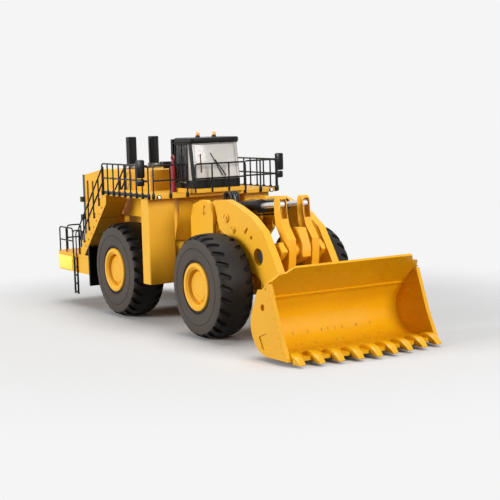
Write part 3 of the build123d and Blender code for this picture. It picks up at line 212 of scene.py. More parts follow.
class Graph:
    """Node tree of one material or of the world."""

    def __init__(self, tree: bpy.types.NodeTree) -> None:
        """Clear the tree, ready for new nodes."""
        self.tree = tree
        tree.nodes.clear()

    def node(self, kind: str, settings: dict[str, Any], inputs: dict[Union[str, int], Any],
             output: Union[str, int] = 0) -> Optional[Wire]:
        """Add any node.

        Args:
            kind: The node's type.
            settings: Its settings, set first.
            inputs: Values or wires for its sockets, by name or number.
            output: The socket that is returned.

        Returns:
            The chosen output, or nothing where the node has none.
        """
        made = self.tree.nodes.new(kind)
        for name, value in settings.items():
            setattr(made, name, value)
        for name, value in inputs.items():
            if isinstance(value, Wire):
                self.tree.links.new(value.socket, made.inputs[name])
            elif isinstance(value, tuple) and made.inputs[name].type == "RGBA":
                made.inputs[name].default_value = (*value, 1)
            else:
                made.inputs[name].default_value = value
        return Wire(self, made.outputs[output]) if made.outputs else None

    def place(self) -> Wire:
        """Object coordinates of the surface, in metres."""
        return self.node("ShaderNodeTexCoord", {}, {}, "Object")

    def noise(self, scale: float, detail: float = 2.0, stretch: Point = (1.0, 1.0, 1.0)) -> Wire:
        """Cloudy noise.

        Args:
            scale: Clouds per metre.
            detail: Finer octaves.
            stretch: How much finer the clouds are along each axis.

        Returns:
            The noise, around 0.5.
        """
        where = self.node("ShaderNodeMapping", {}, {"Vector": self.place(), "Scale": stretch})
        inputs = {"Vector": where, "Scale": scale, "Detail": detail}
        return self.node("ShaderNodeTexNoise", {}, inputs, "Fac")

    def shown(self) -> Wire:
        """Pick out the rays that show the pale background.

        Returns:
            1 for camera, glossy and transmission rays, and 0 for the others.
        """
        seen, mirrored, through = (self.node("ShaderNodeLightPath", {}, {}, f"Is {ray} Ray")
                                   for ray in ("Camera", "Glossy", "Transmission"))
        return self.node("ShaderNodeMath", {"operation": "ADD", "use_clamp": True},
                         {0: seen + mirrored, 1: through})

    def mix(self, amount: Value, first: Any, second: Any) -> Wire:
        """Mix two colours.

        Args:
            amount: Share of the second colour.
            first: First colour.
            second: Second colour.

        Returns:
            The mixed colour.
        """
        colours = {0: amount, 6: first, 7: second}
        return self.node("ShaderNodeMix", {"data_type": "RGBA"}, colours, 2)


CLOUDS = 38.0  # broad clouds per metre
CLOUD_DETAIL = 3.0
SCRATCHES = 240.0  # scratches per metre, across them
SCRATCH_STRETCH = (0.12, 1.0, 1.0)
BUMP_STRENGTH = 0.5
COAT_ROUGHNESS = 0.12
HAZE = 0.12  # how much the clouds thicken a clear finish
TYRE_GRAIN = 1400.0
SLEEK = 0.00001  # relief of a smooth moulding, in metres


@dataclass(frozen=True)
class Finish:
    """One surface finish of the model.

    Attributes:
        name: Name of the material.
        slot: The record's material slot; not used.
        colour: Main display colour, from 0 to 255.
        shade: Display colour of its darker or worn patches.
        roughness: Mean roughness.
        pattern: How it varies.
        metallic: Share of bare metal.
        coat: Clear lacquer over it.
        alpha: Opacity.
        grain: Bumps per metre.
        relief: Depth of the bumps in metres.
        gloss: Specular level.
    """

    name: str
    slot: str
    colour: tuple[int, int, int]
    shade: tuple[int, int, int]
    roughness: float
    pattern: Pattern
    metallic: float = 0.0
    coat: float = 0.0
    alpha: float = 1.0
    grain: float = 1800.0
    relief: float = 0.00004
    gloss: float = 0.5

    def material(self) -> bpy.types.Material:
        """Find or make the material.

        Returns:
            The material of this finish.
        """
        found = bpy.data.materials.get(self.name)
        if found:
            return found
        made = bpy.data.materials.new(self.name)
        made.use_nodes = True
        graph = Graph(made.node_tree)
        cloud = graph.noise(CLOUDS, CLOUD_DETAIL)
        speck = graph.noise(self.grain)
        worn, rough = self.variation(graph, cloud, speck)
        tone = graph.mix(worn, linear(*self.colour), linear(*self.shade))
        bump = graph.node("ShaderNodeBump", {}, {"Strength": BUMP_STRENGTH, "Height": speck,
                                                 "Distance": self.relief})
        sockets = {"Base Color": tone, "Roughness": self.roughness + rough, "Normal": bump,
                   "Metallic": self.metallic, "Coat Weight": self.coat,
                   "Coat Roughness": COAT_ROUGHNESS, "Specular IOR Level": self.gloss}
        if self.alpha < 1:
            sockets["Alpha"] = self.alpha + cloud * HAZE
        shader = graph.node("ShaderNodeBsdfPrincipled", {}, sockets)
        graph.node("ShaderNodeOutputMaterial", {}, {"Surface": shader})
        return made

    def variation(self, graph: Graph, cloud: Wire, speck: Wire) -> tuple[Wire, Wire]:
        """Wear and roughness as they vary over the surface.

        Args:
            graph: The material's graph.
            cloud: Broad noise.
            speck: Fine noise.

        Returns:
            The share of the worn colour, and what is added to the roughness.
        """
        if self.pattern is Pattern.RUBBER:
            return cloud.over(0.5, 0.4) * 0.45 + speck * 0.35, speck * 0.16
        if self.pattern is Pattern.METAL:
            return speck.over(0.55, 0.3) * 0.4, cloud * 0.12
        if self.pattern is Pattern.MOULDED:
            return speck * 0.5, cloud * 0.15
        if self.pattern is Pattern.CLEAR:
            return cloud * 0.3, cloud * 0.06
        patch = cloud.over(0.5, 0.5) * 0.4 + speck * 0.1
        if self.pattern is Pattern.SCUFFED:
            scratch = graph.noise(SCRATCHES, CLOUD_DETAIL, SCRATCH_STRETCH).over(0.62, 0.12)
            return patch + scratch * 0.2, scratch * 0.18
        return patch, cloud * 0.14


GOLD = Finish("golden_paint", "yellow_paint", (228, 169, 18), (219, 155, 12), 0.42, Pattern.PAINT,
              coat=0.06)
SCUFFED = Finish("scuffed_golden_paint", "yellow_paint", (225, 165, 11), (214, 150, 7), 0.26,
                 Pattern.SCUFFED, coat=0.08, relief=0.000008, gloss=0.35)
BLACK = Finish("glossy_black", "black_plastic", (9, 8, 8), (18, 17, 16), 0.2, Pattern.PAINT,
               relief=SLEEK, gloss=0.22)
GREY = Finish("moulded_grey", "dark_grey_plastic", (48, 46, 44), (34, 32, 31), 0.5, Pattern.MOULDED)
TREAD = Finish("tread_rubber", "tyre_rubber", (17, 15, 13), (34, 30, 26), 0.48, Pattern.RUBBER,
               grain=TYRE_GRAIN, gloss=0.2)
SIDEWALL = Finish("sidewall_rubber", "tyre_rubber", (56, 48, 42), (72, 63, 55), 0.66,
                  Pattern.RUBBER, grain=TYRE_GRAIN, gloss=0.35)
# dark rubber of hoses, lips, seams and score marks, also used as painted shade in the stacks'
# mouths and the cross tube's ends
RUBBER_AND_SHADE = Finish("hose_rubber", "black_rubber", (22, 21, 21), (40, 38, 37), 0.5, Pattern.RUBBER)
CHROME = Finish("bright_chrome", "chrome", (226, 226, 228), (204, 205, 208), 0.2, Pattern.METAL,
                metallic=0.85)
SILVER = Finish("dull_silver", "silver", (118, 114, 110), (64, 61, 58), 0.34, Pattern.METAL,
                metallic=0.9)
GLASS = Finish("cab_glazing", "clear_glazing", (240, 236, 229), (230, 226, 219), 0.05,
               Pattern.CLEAR, alpha=0.38)
LENS = Finish("lamp_lens", "clear_glazing", (240, 240, 236), (214, 216, 214), 0.12,
              Pattern.MOULDED, coat=0.6)
TINT = Finish("tinted_glazing", "clear_glazing", (26, 26, 27), (40, 40, 40), 0.06, Pattern.CLEAR,
              alpha=0.62)
AMBER = Finish("clear_amber", "amber_lens", (240, 150, 40), (226, 128, 24), 0.15, Pattern.MOULDED,
               coat=0.6)
RED = Finish("deep_red", "red_plastic", (140, 16, 30), (112, 10, 22), 0.3, Pattern.PAINT,
             relief=SLEEK)
# painted highlight: a pale yellow that stands for bright light washing out the bumper's sides
BUMPER_HIGHLIGHT = Finish("pale_lemon_paint", "yellow_paint", (252, 232, 92), (246, 222, 76), 0.32,
               Pattern.PAINT)

NODES: dict[str, tuple[Finish, float]] = {  # finish of a node, and rounding in millimetres
    "air_precleaner": (BLACK, 0.5), "beacons": (AMBER, 0), "boarding_ladders": (BLACK, 0.2),
    "boom": (GOLD, 0.35), "bucket": (SCUFFED, 0.22), "bucket_teeth": (SCUFFED, 0),
    "cab_glass": (GLASS, 0), "cab_roof": (BLACK, 0.5), "cab_shell": (BLACK, 0.3),
    "control_console": (GREY, 0.4), "deck": (GOLD, 0.3), "deck_railing": (BLACK, 0),
    "engine_hood": (GOLD, 0.6), "exhaust_stacks": (BLACK, 0.4), "fire_extinguisher": (RED, 0.3),
    "front_axle": (GOLD, 0.3), "front_frame": (GOLD, 0.4), "hydraulic_hoses": (RUBBER_AND_SHADE, 0),
    "lift_barrels": (BLACK, 0.2), "lift_rods": (CHROME, 0.1), "mirrors": (BLACK, 0),
    "mudflaps": (BLACK, 0.3), "operator_seat": (GREY, 0.6), "platform_railing": (BLACK, 0),
    "radiator_grille": (GREY, 0.25), "rear_axle": (GOLD, 0.3), "rear_bumper": (GOLD, 0.4),
    "rear_frame": (GOLD, 0.4), "rear_platform": (GOLD, 0.3), "rollover_frame": (BLACK, 0.5),
    "side_tanks": (GOLD, 0.5), "stack_collars": (SILVER, 0.4), "stair_railing": (BLACK, 0),
    "stairs": (GOLD, 0.15), "tilt_barrels": (BLACK, 0.2), "tilt_levers": (GOLD, 0.5),
    "tilt_links": (GOLD, 0.4), "tilt_rods": (CHROME, 0.1),
    **{f"{end}_{hand}_{part}": (finish, 0) for end in ("front", "rear")
       for hand in ("right", "left") for part, finish in (("tyre", TREAD), ("rim", GOLD))},
}


def clear() -> None:
    """Leave edit mode and deselect everything."""
    if bpy.context.object and bpy.context.object.mode != "OBJECT":
        bpy.ops.object.mode_set(mode="OBJECT")
    bpy.ops.object.select_all(action="DESELECT")


def pick(*pieces: Piece) -> None:
    """Select only these pieces; the first becomes the active one."""
    clear()
    for piece in pieces:
        piece.select_set(True)
    bpy.context.view_layer.objects.active = pieces[0]


def edit(piece: Piece) -> None:
    """Enter edit mode on a piece with all of it selected."""
    pick(piece)
    bpy.ops.object.mode_set(mode="EDIT")
    bpy.ops.mesh.select_all(action="SELECT")


def settle(piece: Piece) -> Piece:
    """Put a piece's place, turn and scale into its mesh."""
    pick(piece)
    bpy.ops.object.transform_apply(location=True, rotation=True, scale=True)
    return piece


def dressed(piece: Piece, finish: Finish, body: str, angle: float = SHARP) -> Piece:
    """Shade a piece, give it its finish and set it on its body.

    Args:
        piece: The shaped piece.
        finish: Its finish.
        body: The body it rides on.
        angle: Sharpest edge that is shaded smooth, in degrees.

    Returns:
        The piece.
    """
    pick(piece)
    bpy.ops.object.shade_smooth_by_angle(angle=radians(angle))
    piece.data.materials.clear()
    piece.data.materials.append(finish.material())
    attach(piece, str(getattr(body, "value", body)))
    LOG.info("%s: %d faces", piece.name, len(piece.data.polygons))
    return piece


def bevelled(piece: Piece, width: float, angle: float) -> Piece:
    """Round the edges of a piece.

    Args:
        piece: The piece.
        width: Width of the rounding in millimetres.
        angle: Flattest edge that is rounded, in degrees.

    Returns:
        The piece.
    """
    clear()
    pick(piece)
    rounding = piece.modifiers.new("rounding", "BEVEL")
    rounding.width = width * MM
    rounding.segments = 2
    rounding.limit_method = "ANGLE"
    rounding.angle_limit = radians(angle)
    bpy.ops.object.modifier_apply(modifier=rounding.name)
    return piece


def softened(node: str, width: float) -> Piece:
    """Copy a CAD node with its edges rounded; the copy stands for the node.

    Args:
        node: Name of the CAD node.
        width: Width of the rounding in millimetres.

    Returns:
        The copy.
    """
    pick(frame["nodes"][node])
    bpy.ops.object.duplicate()
    copy = bpy.context.view_layer.objects.active
    for key in list(copy.keys()):
        del copy[key]
    copy.parent = None
    copy.matrix_world = Matrix.Identity(4)
    copy.name = node + "_soft"
    edit(copy)
    bpy.ops.mesh.remove_doubles(threshold=0.01 * MM)
    bpy.ops.mesh.dissolve_limited(angle_limit=radians(0.5))
    bevelled(copy, width, SHARP)
    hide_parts(node)
    return copy


def flattened(piece: Piece) -> None:
    """Let a shaded piece's large faces keep their flat shading beside rounded edges."""
    pick(piece)
    weighted = piece.modifiers.new("flat_faces", "WEIGHTED_NORMAL")
    weighted.keep_sharp = True
    bpy.ops.object.modifier_apply(modifier=weighted.name)


def block(name: str, low: Vector, high: Vector, bevel: float) -> Piece:
    """Block with rounded edges between two corners.

    Args:
        name: Name of the piece.
        low: Lowest corner in metres.
        high: Highest corner in metres.
        bevel: Rounding in millimetres.

    Returns:
        The block.
    """
    clear()
    bpy.ops.mesh.primitive_cube_add(size=1, location=(low + high) / 2)
    piece = bpy.context.object
    piece.name = name
    piece.scale = high - low
    settle(piece)
    edit(piece)
    bpy.ops.mesh.bevel(offset=bevel * MM, segments=2, affect="EDGES")
    clear()
    return piece


def paired(name: str, boxes: Sequence[tuple[Point, Point]], bevel: float) -> Piece:
    """Blocks on both sides of the machine, in one piece.

    Args:
        name: Name of the piece.
        boxes: Two corners of each block on the left side, in millimetres from the hitch.
        bevel: Rounding in millimetres.

    Returns:
        The blocks.
    """
    made = []
    for hand in HANDS:
        for (rear, inner, low), (front, outer, high) in boxes:
            right, left = sorted((hand * inner, hand * outer))
            made.append(block(name, at(rear, right, low), at(front, left, high), bevel))
    return joined(name, made)


def drawn(name: str, corners: Sequence[Vector]) -> Piece:
    """Draw a chain of edges, left in edit mode with all of it selected.

    Args:
        name: Name of the piece.
        corners: Corners of the chain in metres.

    Returns:
        The chain.
    """
    clear()
    bpy.ops.mesh.primitive_plane_add(size=MM)
    piece = bpy.context.object
    piece.name = name
    edit(piece)
    bpy.ops.mesh.merge(type="CENTER")
    bpy.ops.transform.translate(value=corners[0])
    for here, there in zip(corners, corners[1:]):
        bpy.ops.mesh.extrude_region_move(TRANSFORM_OT_translate={"value": there - here})
    bpy.ops.mesh.select_all(action="SELECT")
    return piece


def prism(name: str, outline: Profile, half: float, bevel: float) -> Piece:
    """Plate of a side outline, centred on the machine's middle, with rounded edges.

    Args:
        name: Name of the piece.
        outline: (x, z) corners in millimetres.
        half: Half the thickness.
        bevel: Rounding of the edges.

    Returns:
        The plate.
    """
    piece = drawn(name, [Vector((x, -half, z)) * MM for x, z in outline])
    bpy.ops.mesh.edge_face_add()
    across = {"value": (0, 2 * half * MM, 0)}
    bpy.ops.mesh.extrude_region_move(TRANSFORM_OT_translate=across)
    bpy.ops.mesh.select_all(action="SELECT")
    bpy.ops.mesh.normals_make_consistent(inside=False)
    return bevelled(piece, bevel, angle=40)


def turned(name: str, profile: Profile, steps: int, way: Point = UP) -> Piece:
    """Spin a closed profile about an axle through the origin.

    Args:
        name: Name of the piece.
        profile: (radius, offset along the axle) pairs in millimetres, round the section.
        steps: Steps round the axle.
        way: Direction of the axle.

    Returns:
        The turned piece.
    """
    corners = [Vector((radius, 0, offset)) * MM for radius, offset in profile]
    piece = drawn(name, corners + corners[:1])
    bpy.ops.mesh.remove_doubles(threshold=0.002 * MM)
    bpy.ops.mesh.select_all(action="SELECT")
    bpy.ops.mesh.spin(steps=steps, angle=tau, center=(0, 0, 0), axis=UP)
    bpy.ops.mesh.select_all(action="SELECT")
    bpy.ops.mesh.remove_doubles(threshold=0.005 * MM)
    bpy.ops.mesh.normals_make_consistent(inside=False)
    clear()
    piece.matrix_world = facing(Vector(), way)
    return settle(piece)


def tubes(name: str, runs: Sequence[Sequence[Vector]], radius: float) -> Piece:
    """Round bars along paths, in one piece.

    Args:
        name: Name of the piece.
        runs: Paths in metres.
        radius: Radius of the bars in millimetres.

    Returns:
        The bars as a mesh.
    """
    clear()
    bpy.ops.curve.primitive_bezier_curve_add(radius=MM)
    piece = bpy.context.object
    piece.name = name
    shape = piece.data
    shape.splines.clear()
    shape.bevel_depth = radius * MM
    shape.bevel_resolution = 2
    shape.use_fill_caps = True
    for run in runs:
        spline = shape.splines.new("POLY")
        spline.points.add(len(run) - 1)
        for point, place in zip(spline.points, run):
            point.co = (*place, 1)
    pick(piece)
    bpy.ops.object.convert(target="MESH")
    return settle(bpy.context.object)


def joined(name: str, pieces: Sequence[Piece]) -> Piece:
    """Join pieces into one and name it."""
    pick(*pieces)
    if len(pieces) > 1:
        bpy.ops.object.join()
    whole = bpy.context.view_layer.objects.active
    whole.name = name
    return settle(whole)


def copied(name: str, piece: Piece, place: Matrix) -> Piece:
    """Copy a piece that was made at the origin, with a mesh of its own, to a place."""
    pick(piece)
    bpy.ops.object.duplicate()
    copy = bpy.context.object
    copy.name = name
    copy.matrix_world = place
    return settle(copy)


def repeated(name: str, first: Piece, places: Sequence[Matrix]) -> Piece:
    """Copy a piece that was made at the origin to several places and join the copies.

    Args:
        name: Name of the joined piece.
        first: The piece at the origin, which is used up.
        places: One matrix for each copy.

    Returns:
        The joined copies.
    """
    copies = [copied(name, first, place) for place in places]
    bpy.data.objects.remove(first)
    return joined(name, copies)


def bolts(name: str, radius: float, height: float,
          places: Sequence[Matrix]) -> Piece:
    """Six-sided bolt heads with broken edges.

    Args:
        name: Name of the piece.
        radius: Radius of a head in millimetres.
        height: How far a head stands out, in millimetres.
        places: One matrix for each head.

    Returns:
        All the heads.
    """
    clear()
    bpy.ops.mesh.primitive_cylinder_add(vertices=6, radius=radius * MM, depth=2 * height * MM)
    head = bpy.context.object
    edit(head)
    bpy.ops.mesh.bevel(offset=radius * 0.16 * MM, segments=1, affect="EDGES")
    clear()
    return repeated(name, head, places)


@dataclass
class Wheels:
    """Four road wheels, modelled once: a broad notched tyre on a dished rim.

    Attributes:
        radius: Radius of the tyre in millimetres.
        half: Half the width of the tyre.
        seat: Radius of the rim's seat.
        notches: Notches along each shoulder.
        notch: Size of a notch's cutter round the tyre, across it and into it.
        notch_out: Distance of the notches from the tyre's middle.
        notch_lean: Degrees that a cutter leans down the shoulder.
        notch_skew: Degrees that it is turned from straight across.
        wall_from: Distance from the tyre's middle beyond which it is sidewall.
        studs: Studs on the hub disc.
        stud_ring: Radius of the ring of studs.
        dish: Depth of the hub disc behind the tyre's side.
    """

    radius: float = 36.45
    half: float = 13.5
    seat: float = 17.0
    notches: int = 26
    notch: Point = (3.5, 9.4, 7.0)
    notch_out: float = 9.7
    notch_lean: float = -17.0
    notch_skew: float = 28.0
    wall_from: float = 12.75
    studs: int = 16
    stud_ring: float = 6.9
    dish: float = 2.5

    def tyre(self) -> Piece:
        """Turn the tyre and cut its shoulder notches.

        Returns:
            The tyre, at the origin.
        """
        out, half, seat = self.radius, self.half, self.seat
        side = [(out, 0), (out - 0.15, 4.0), (out - 0.6, 8.0), (out - 1.4, 10.6), (out - 2.6, 12.2),
                (out - 3.7, 12.8), (out - 4.6, 13.05), (out - 7.0, half - 0.1), (out - 9.4, half),
                (out - 9.6, half - 0.22), (out - 9.9, half - 0.22), (out - 10.1, half),
                (out - 14.5, half), (seat + 2.0, half - 0.3), (seat + 1.5, half - 0.9),
                (seat + 0.8, half - 0.8), (seat + 0.1, half - 1.2)]
        section = side + [(r, -y) for r, y in reversed(side[1:])]
        tyre = turned("tyre", section, steps=104, way=OUTWARD)
        cutters = self.cutters()
        pick(tyre)
        cut = tyre.modifiers.new("notches", "BOOLEAN")
        cut.operation = "DIFFERENCE"
        cut.object = cutters
        bpy.ops.object.modifier_apply(modifier=cut.name)
        bpy.data.objects.remove(cutters)
        return tyre

    def cutters(self) -> Piece:
        """Make pill-shaped cutters round both shoulders, out of step with each other.

        Returns:
            The cutters, in one object.
        """
        size = Vector(self.notch) * MM
        first = block("notch", -size / 2, size / 2, bevel=1.5)
        places = []
        for edge, shift in ((-1, 0.25), (1, 0.75)):
            out = Matrix.Translation(Vector((0, edge * self.notch_out, self.radius - 0.1)) * MM)
            lean = Matrix.Rotation(radians(self.notch_lean * edge), 4, "X")
            skew = Matrix.Rotation(radians(self.notch_skew * edge), 4, "Z")
            for number in range(self.notches):
                turn = Matrix.Rotation(tau * (number + shift) / self.notches, 4, "Y")
                places.append(turn @ out @ lean @ skew)
        return repeated("notches", first, places)

    def disc(self) -> Piece:
        """Turn the rim: flange, stepped well and hub disc.

        Returns:
            The rim, at the origin.
        """
        half, seat, hub = self.half, self.seat - 0.1, self.half - self.dish
        face = [(AXIS, hub), (8.4, hub), (8.7, half - 2.2), (9.5, half - 2.2), (9.9, half - 2.7),
                (10.5, half - 3.0), (10.8, half - 4.4), (11.9, half - 4.4), (12.2, half - 1.4),
                (12.6, half - 0.8), (13.1, half - 0.7), (13.4, half - 0.1), (13.9, half + 0.3),
                (15.4, half + 0.4), (16.3, half + 0.2), (16.8, half - 0.4), (seat, half - 1.0),
                (seat, 2.0 - half), (AXIS, 2.0 - half)]
        return turned("rim", face, steps=72, way=OUTWARD)

    def hub_studs(self) -> Piece:
        """Set a ring of small studs on the hub disc.

        Returns:
            The studs, at the origin.
        """
        places = []
        for number in range(self.studs):
            turn = tau * number / self.studs
            spot = Vector((self.stud_ring * cos(turn), self.dish - self.half,
                           self.stud_ring * sin(turn)))
            places.append(facing(spot * MM, OUTWARD))
        return bolts("studs", radius=0.42, height=0.22, places=places)

    def dress_tyre(self, tyre: Piece) -> None:
        """Give the flat sides of a finished tyre a lighter, browner rubber than its tread.

        Args:
            tyre: The tyre, which has its tread's rubber.
        """
        tyre.data.materials.append(SIDEWALL.material())
        middle = sum((Vector(corner) for corner in tyre.bound_box), Vector()) / 8
        for face in tyre.data.polygons:
            aside = abs(face.center.y - middle.y) > self.wall_from * MM
            if aside and abs(face.normal.y) > 0.8:
                face.material_index = 1

    def build(self) -> None:
        """Model one wheel and set a copy of it at each corner."""
        wheel = (self.tyre(), self.disc(), self.hub_studs())
        for end in ("front", "rear"):
            for hand in ("right", "left"):
                corner = f"{end}_{hand}"
                low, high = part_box(corner + "_tyre")
                turn = Matrix.Rotation(pi if hand == "left" else 0, 4, "Z")
                place = Matrix.Translation((low + high) / 2) @ turn
                copies = [copied(f"{corner}_{piece.name}_turned", piece, place)
                          for piece in wheel]
                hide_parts(corner + "_tyre")
                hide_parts(corner + "_rim")
                for copy, finish in zip(copies, (TREAD, GOLD, GOLD)):
                    dressed(copy, finish, corner + "_wheel", angle=32)
                self.dress_tyre(copies[0])
        for piece in wheel:
            bpy.data.objects.remove(piece)


@dataclass
class Castings:
    """CAD nodes that take a finish, most of them with rounded edges.

    Attributes:
        smooth: Sharpest edge that is shaded smooth, in degrees.
    """

    smooth: float = 30.0

    def build(self) -> None:
        """Finish every node; where it has a rounding, a copy with round edges stands for it."""
        bodies = frame["record"]["behaviour"]["bodies"]
        holders = {node: body for body, nodes in bodies.items() for node in nodes}
        for node, (finish, rounding) in NODES.items():
            source = frame["nodes"][node]
            source.data.materials.clear()
            source.data.materials.append(finish.material())
            if rounding:
                copy = softened(node, rounding)
                flattened(dressed(copy, finish, holders[node], self.smooth))


@dataclass
class Railings:
    """Round-bar railings of the deck, the stairs and the rear platform.

    Attributes:
        bar: Radius of the bars in millimetres.
        bend: Size of the bends at the ends of a run.
        deck: Height of the feet on the deck's edge.
        edge: Distance of the side runs from the machine's middle.
        rear: Station of the rear end of a side run, from the hitch.
        clamp: Half a clamp's length and width, and its height.
    """

    bar: float = 0.62
    bend: float = 2.6
    deck: float = 94.2
    edge: float = 55.7
    rear: float = -76.4
    clamp: Point = (1.1, 0.8, 4.2)

    def run(self, start: Point, end: Point, heights: Sequence[float],
            posts: int) -> list[list[Vector]]:
        """Paths of one straight run: a bent top bar on its end posts, level bars and posts.

        Args:
            start: Foot of the first post, in millimetres from the hitch.
            end: Foot of the last post.
            heights: Heights of the bars above the feet, the highest last.
            posts: Number of posts.

        Returns:
            The paths in metres.
        """
        low, high = Vector(start), Vector(end)
        rise = Vector((0, 0, heights[-1] - self.bar))
        top = [tuple(low), tuple(low + rise), tuple(high + rise), tuple(high)]
        paths = [rounded(top, self.bend)]
        for height in heights[:-1]:
            level = Vector((0, 0, height - self.bar))
            paths.append([at(*(low + level)), at(*(high + level))])
        for post in range(1, posts - 1):
            foot = low.lerp(high, post / (posts - 1))
            paths.append([at(*foot), at(*(foot + rise))])
        return paths

    def clamps(self, start: Point, end: Point, posts: int) -> Piece:
        """Clamp blocks at the feet of a run along the deck's edge, on both sides.

        Args:
            start: Foot of the first post, in millimetres from the hitch.
            end: Foot of the last post.
            posts: Number of posts.

        Returns:
            The blocks.
        """
        length, width, height = self.clamp
        boxes = []
        for post in range(posts):
            x, y, z = Vector(start).lerp(Vector(end), post / (posts - 1))
            boxes.append(((x - length, y - width, z + 0.1), (x + length, y + width, z + height)))
        return paired("clamp", boxes, bevel=0.3)

    def assemble(self, node: str, runs: Sequence[tuple[Point, Point, tuple[float, ...], int]],
                 extras: Sequence[Piece] = (),
                 middle: Sequence[list[Vector]] = ()) -> None:
        """Build one railing with its mirror image and let it stand for its node.

        Args:
            node: The CAD node.
            runs: Start, end, heights and posts of each run on the right side.
            extras: Blocks that belong to it.
            middle: Paths that aren't mirrored.
        """
        paths = [path for run in runs for path in self.run(*run)]
        paths += [[Vector((p.x, -p.y, p.z)) for p in path] for path in paths] + list(middle)
        bars = tubes(node + "_bars", paths, self.bar)
        whole = joined(node + "_bars", [bars, *extras])
        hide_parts(node)
        dressed(whole, BLACK, Body.REAR)

    def build(self) -> None:
        """Build the three railings."""
        side = ((self.rear, -self.edge, self.deck), (1.2, -self.edge, self.deck))
        corner = ((3.7, -53.0, self.deck), (3.7, -24.8, self.deck))
        band = paired("band", [((-76.8, 55.05, 95.2), (2.6, 55.9, 97.6))], bevel=0.2)
        extras = [self.clamps(*side, 9), self.clamps(*corner, 3), band]
        plinth = self.run((10.2, -21.6, 97.4), (10.2, 21.6, 97.4), (10.8, 21.6), 4)
        bars = (14.0, 25.0)
        self.assemble("deck_railing", [(*side, bars, 9), (*corner, bars, 3)], extras, plinth)
        bars = (11.0, 22.0)
        self.assemble("stair_railing", [((-129.4, y, 43.4), (-78.6, y, 95.4), bars, 6)
                                        for y in (-53.7, -34.3)])
        bars = (10.5, 21.0)
        self.assemble("platform_railing", [
            ((-171.4, -52.3, 43.0), (-145.2, -52.3, 43.0), bars, 3),
            ((-177.2, -43.0, 43.0), (-177.2, -30.4, 43.0), bars, 2)])


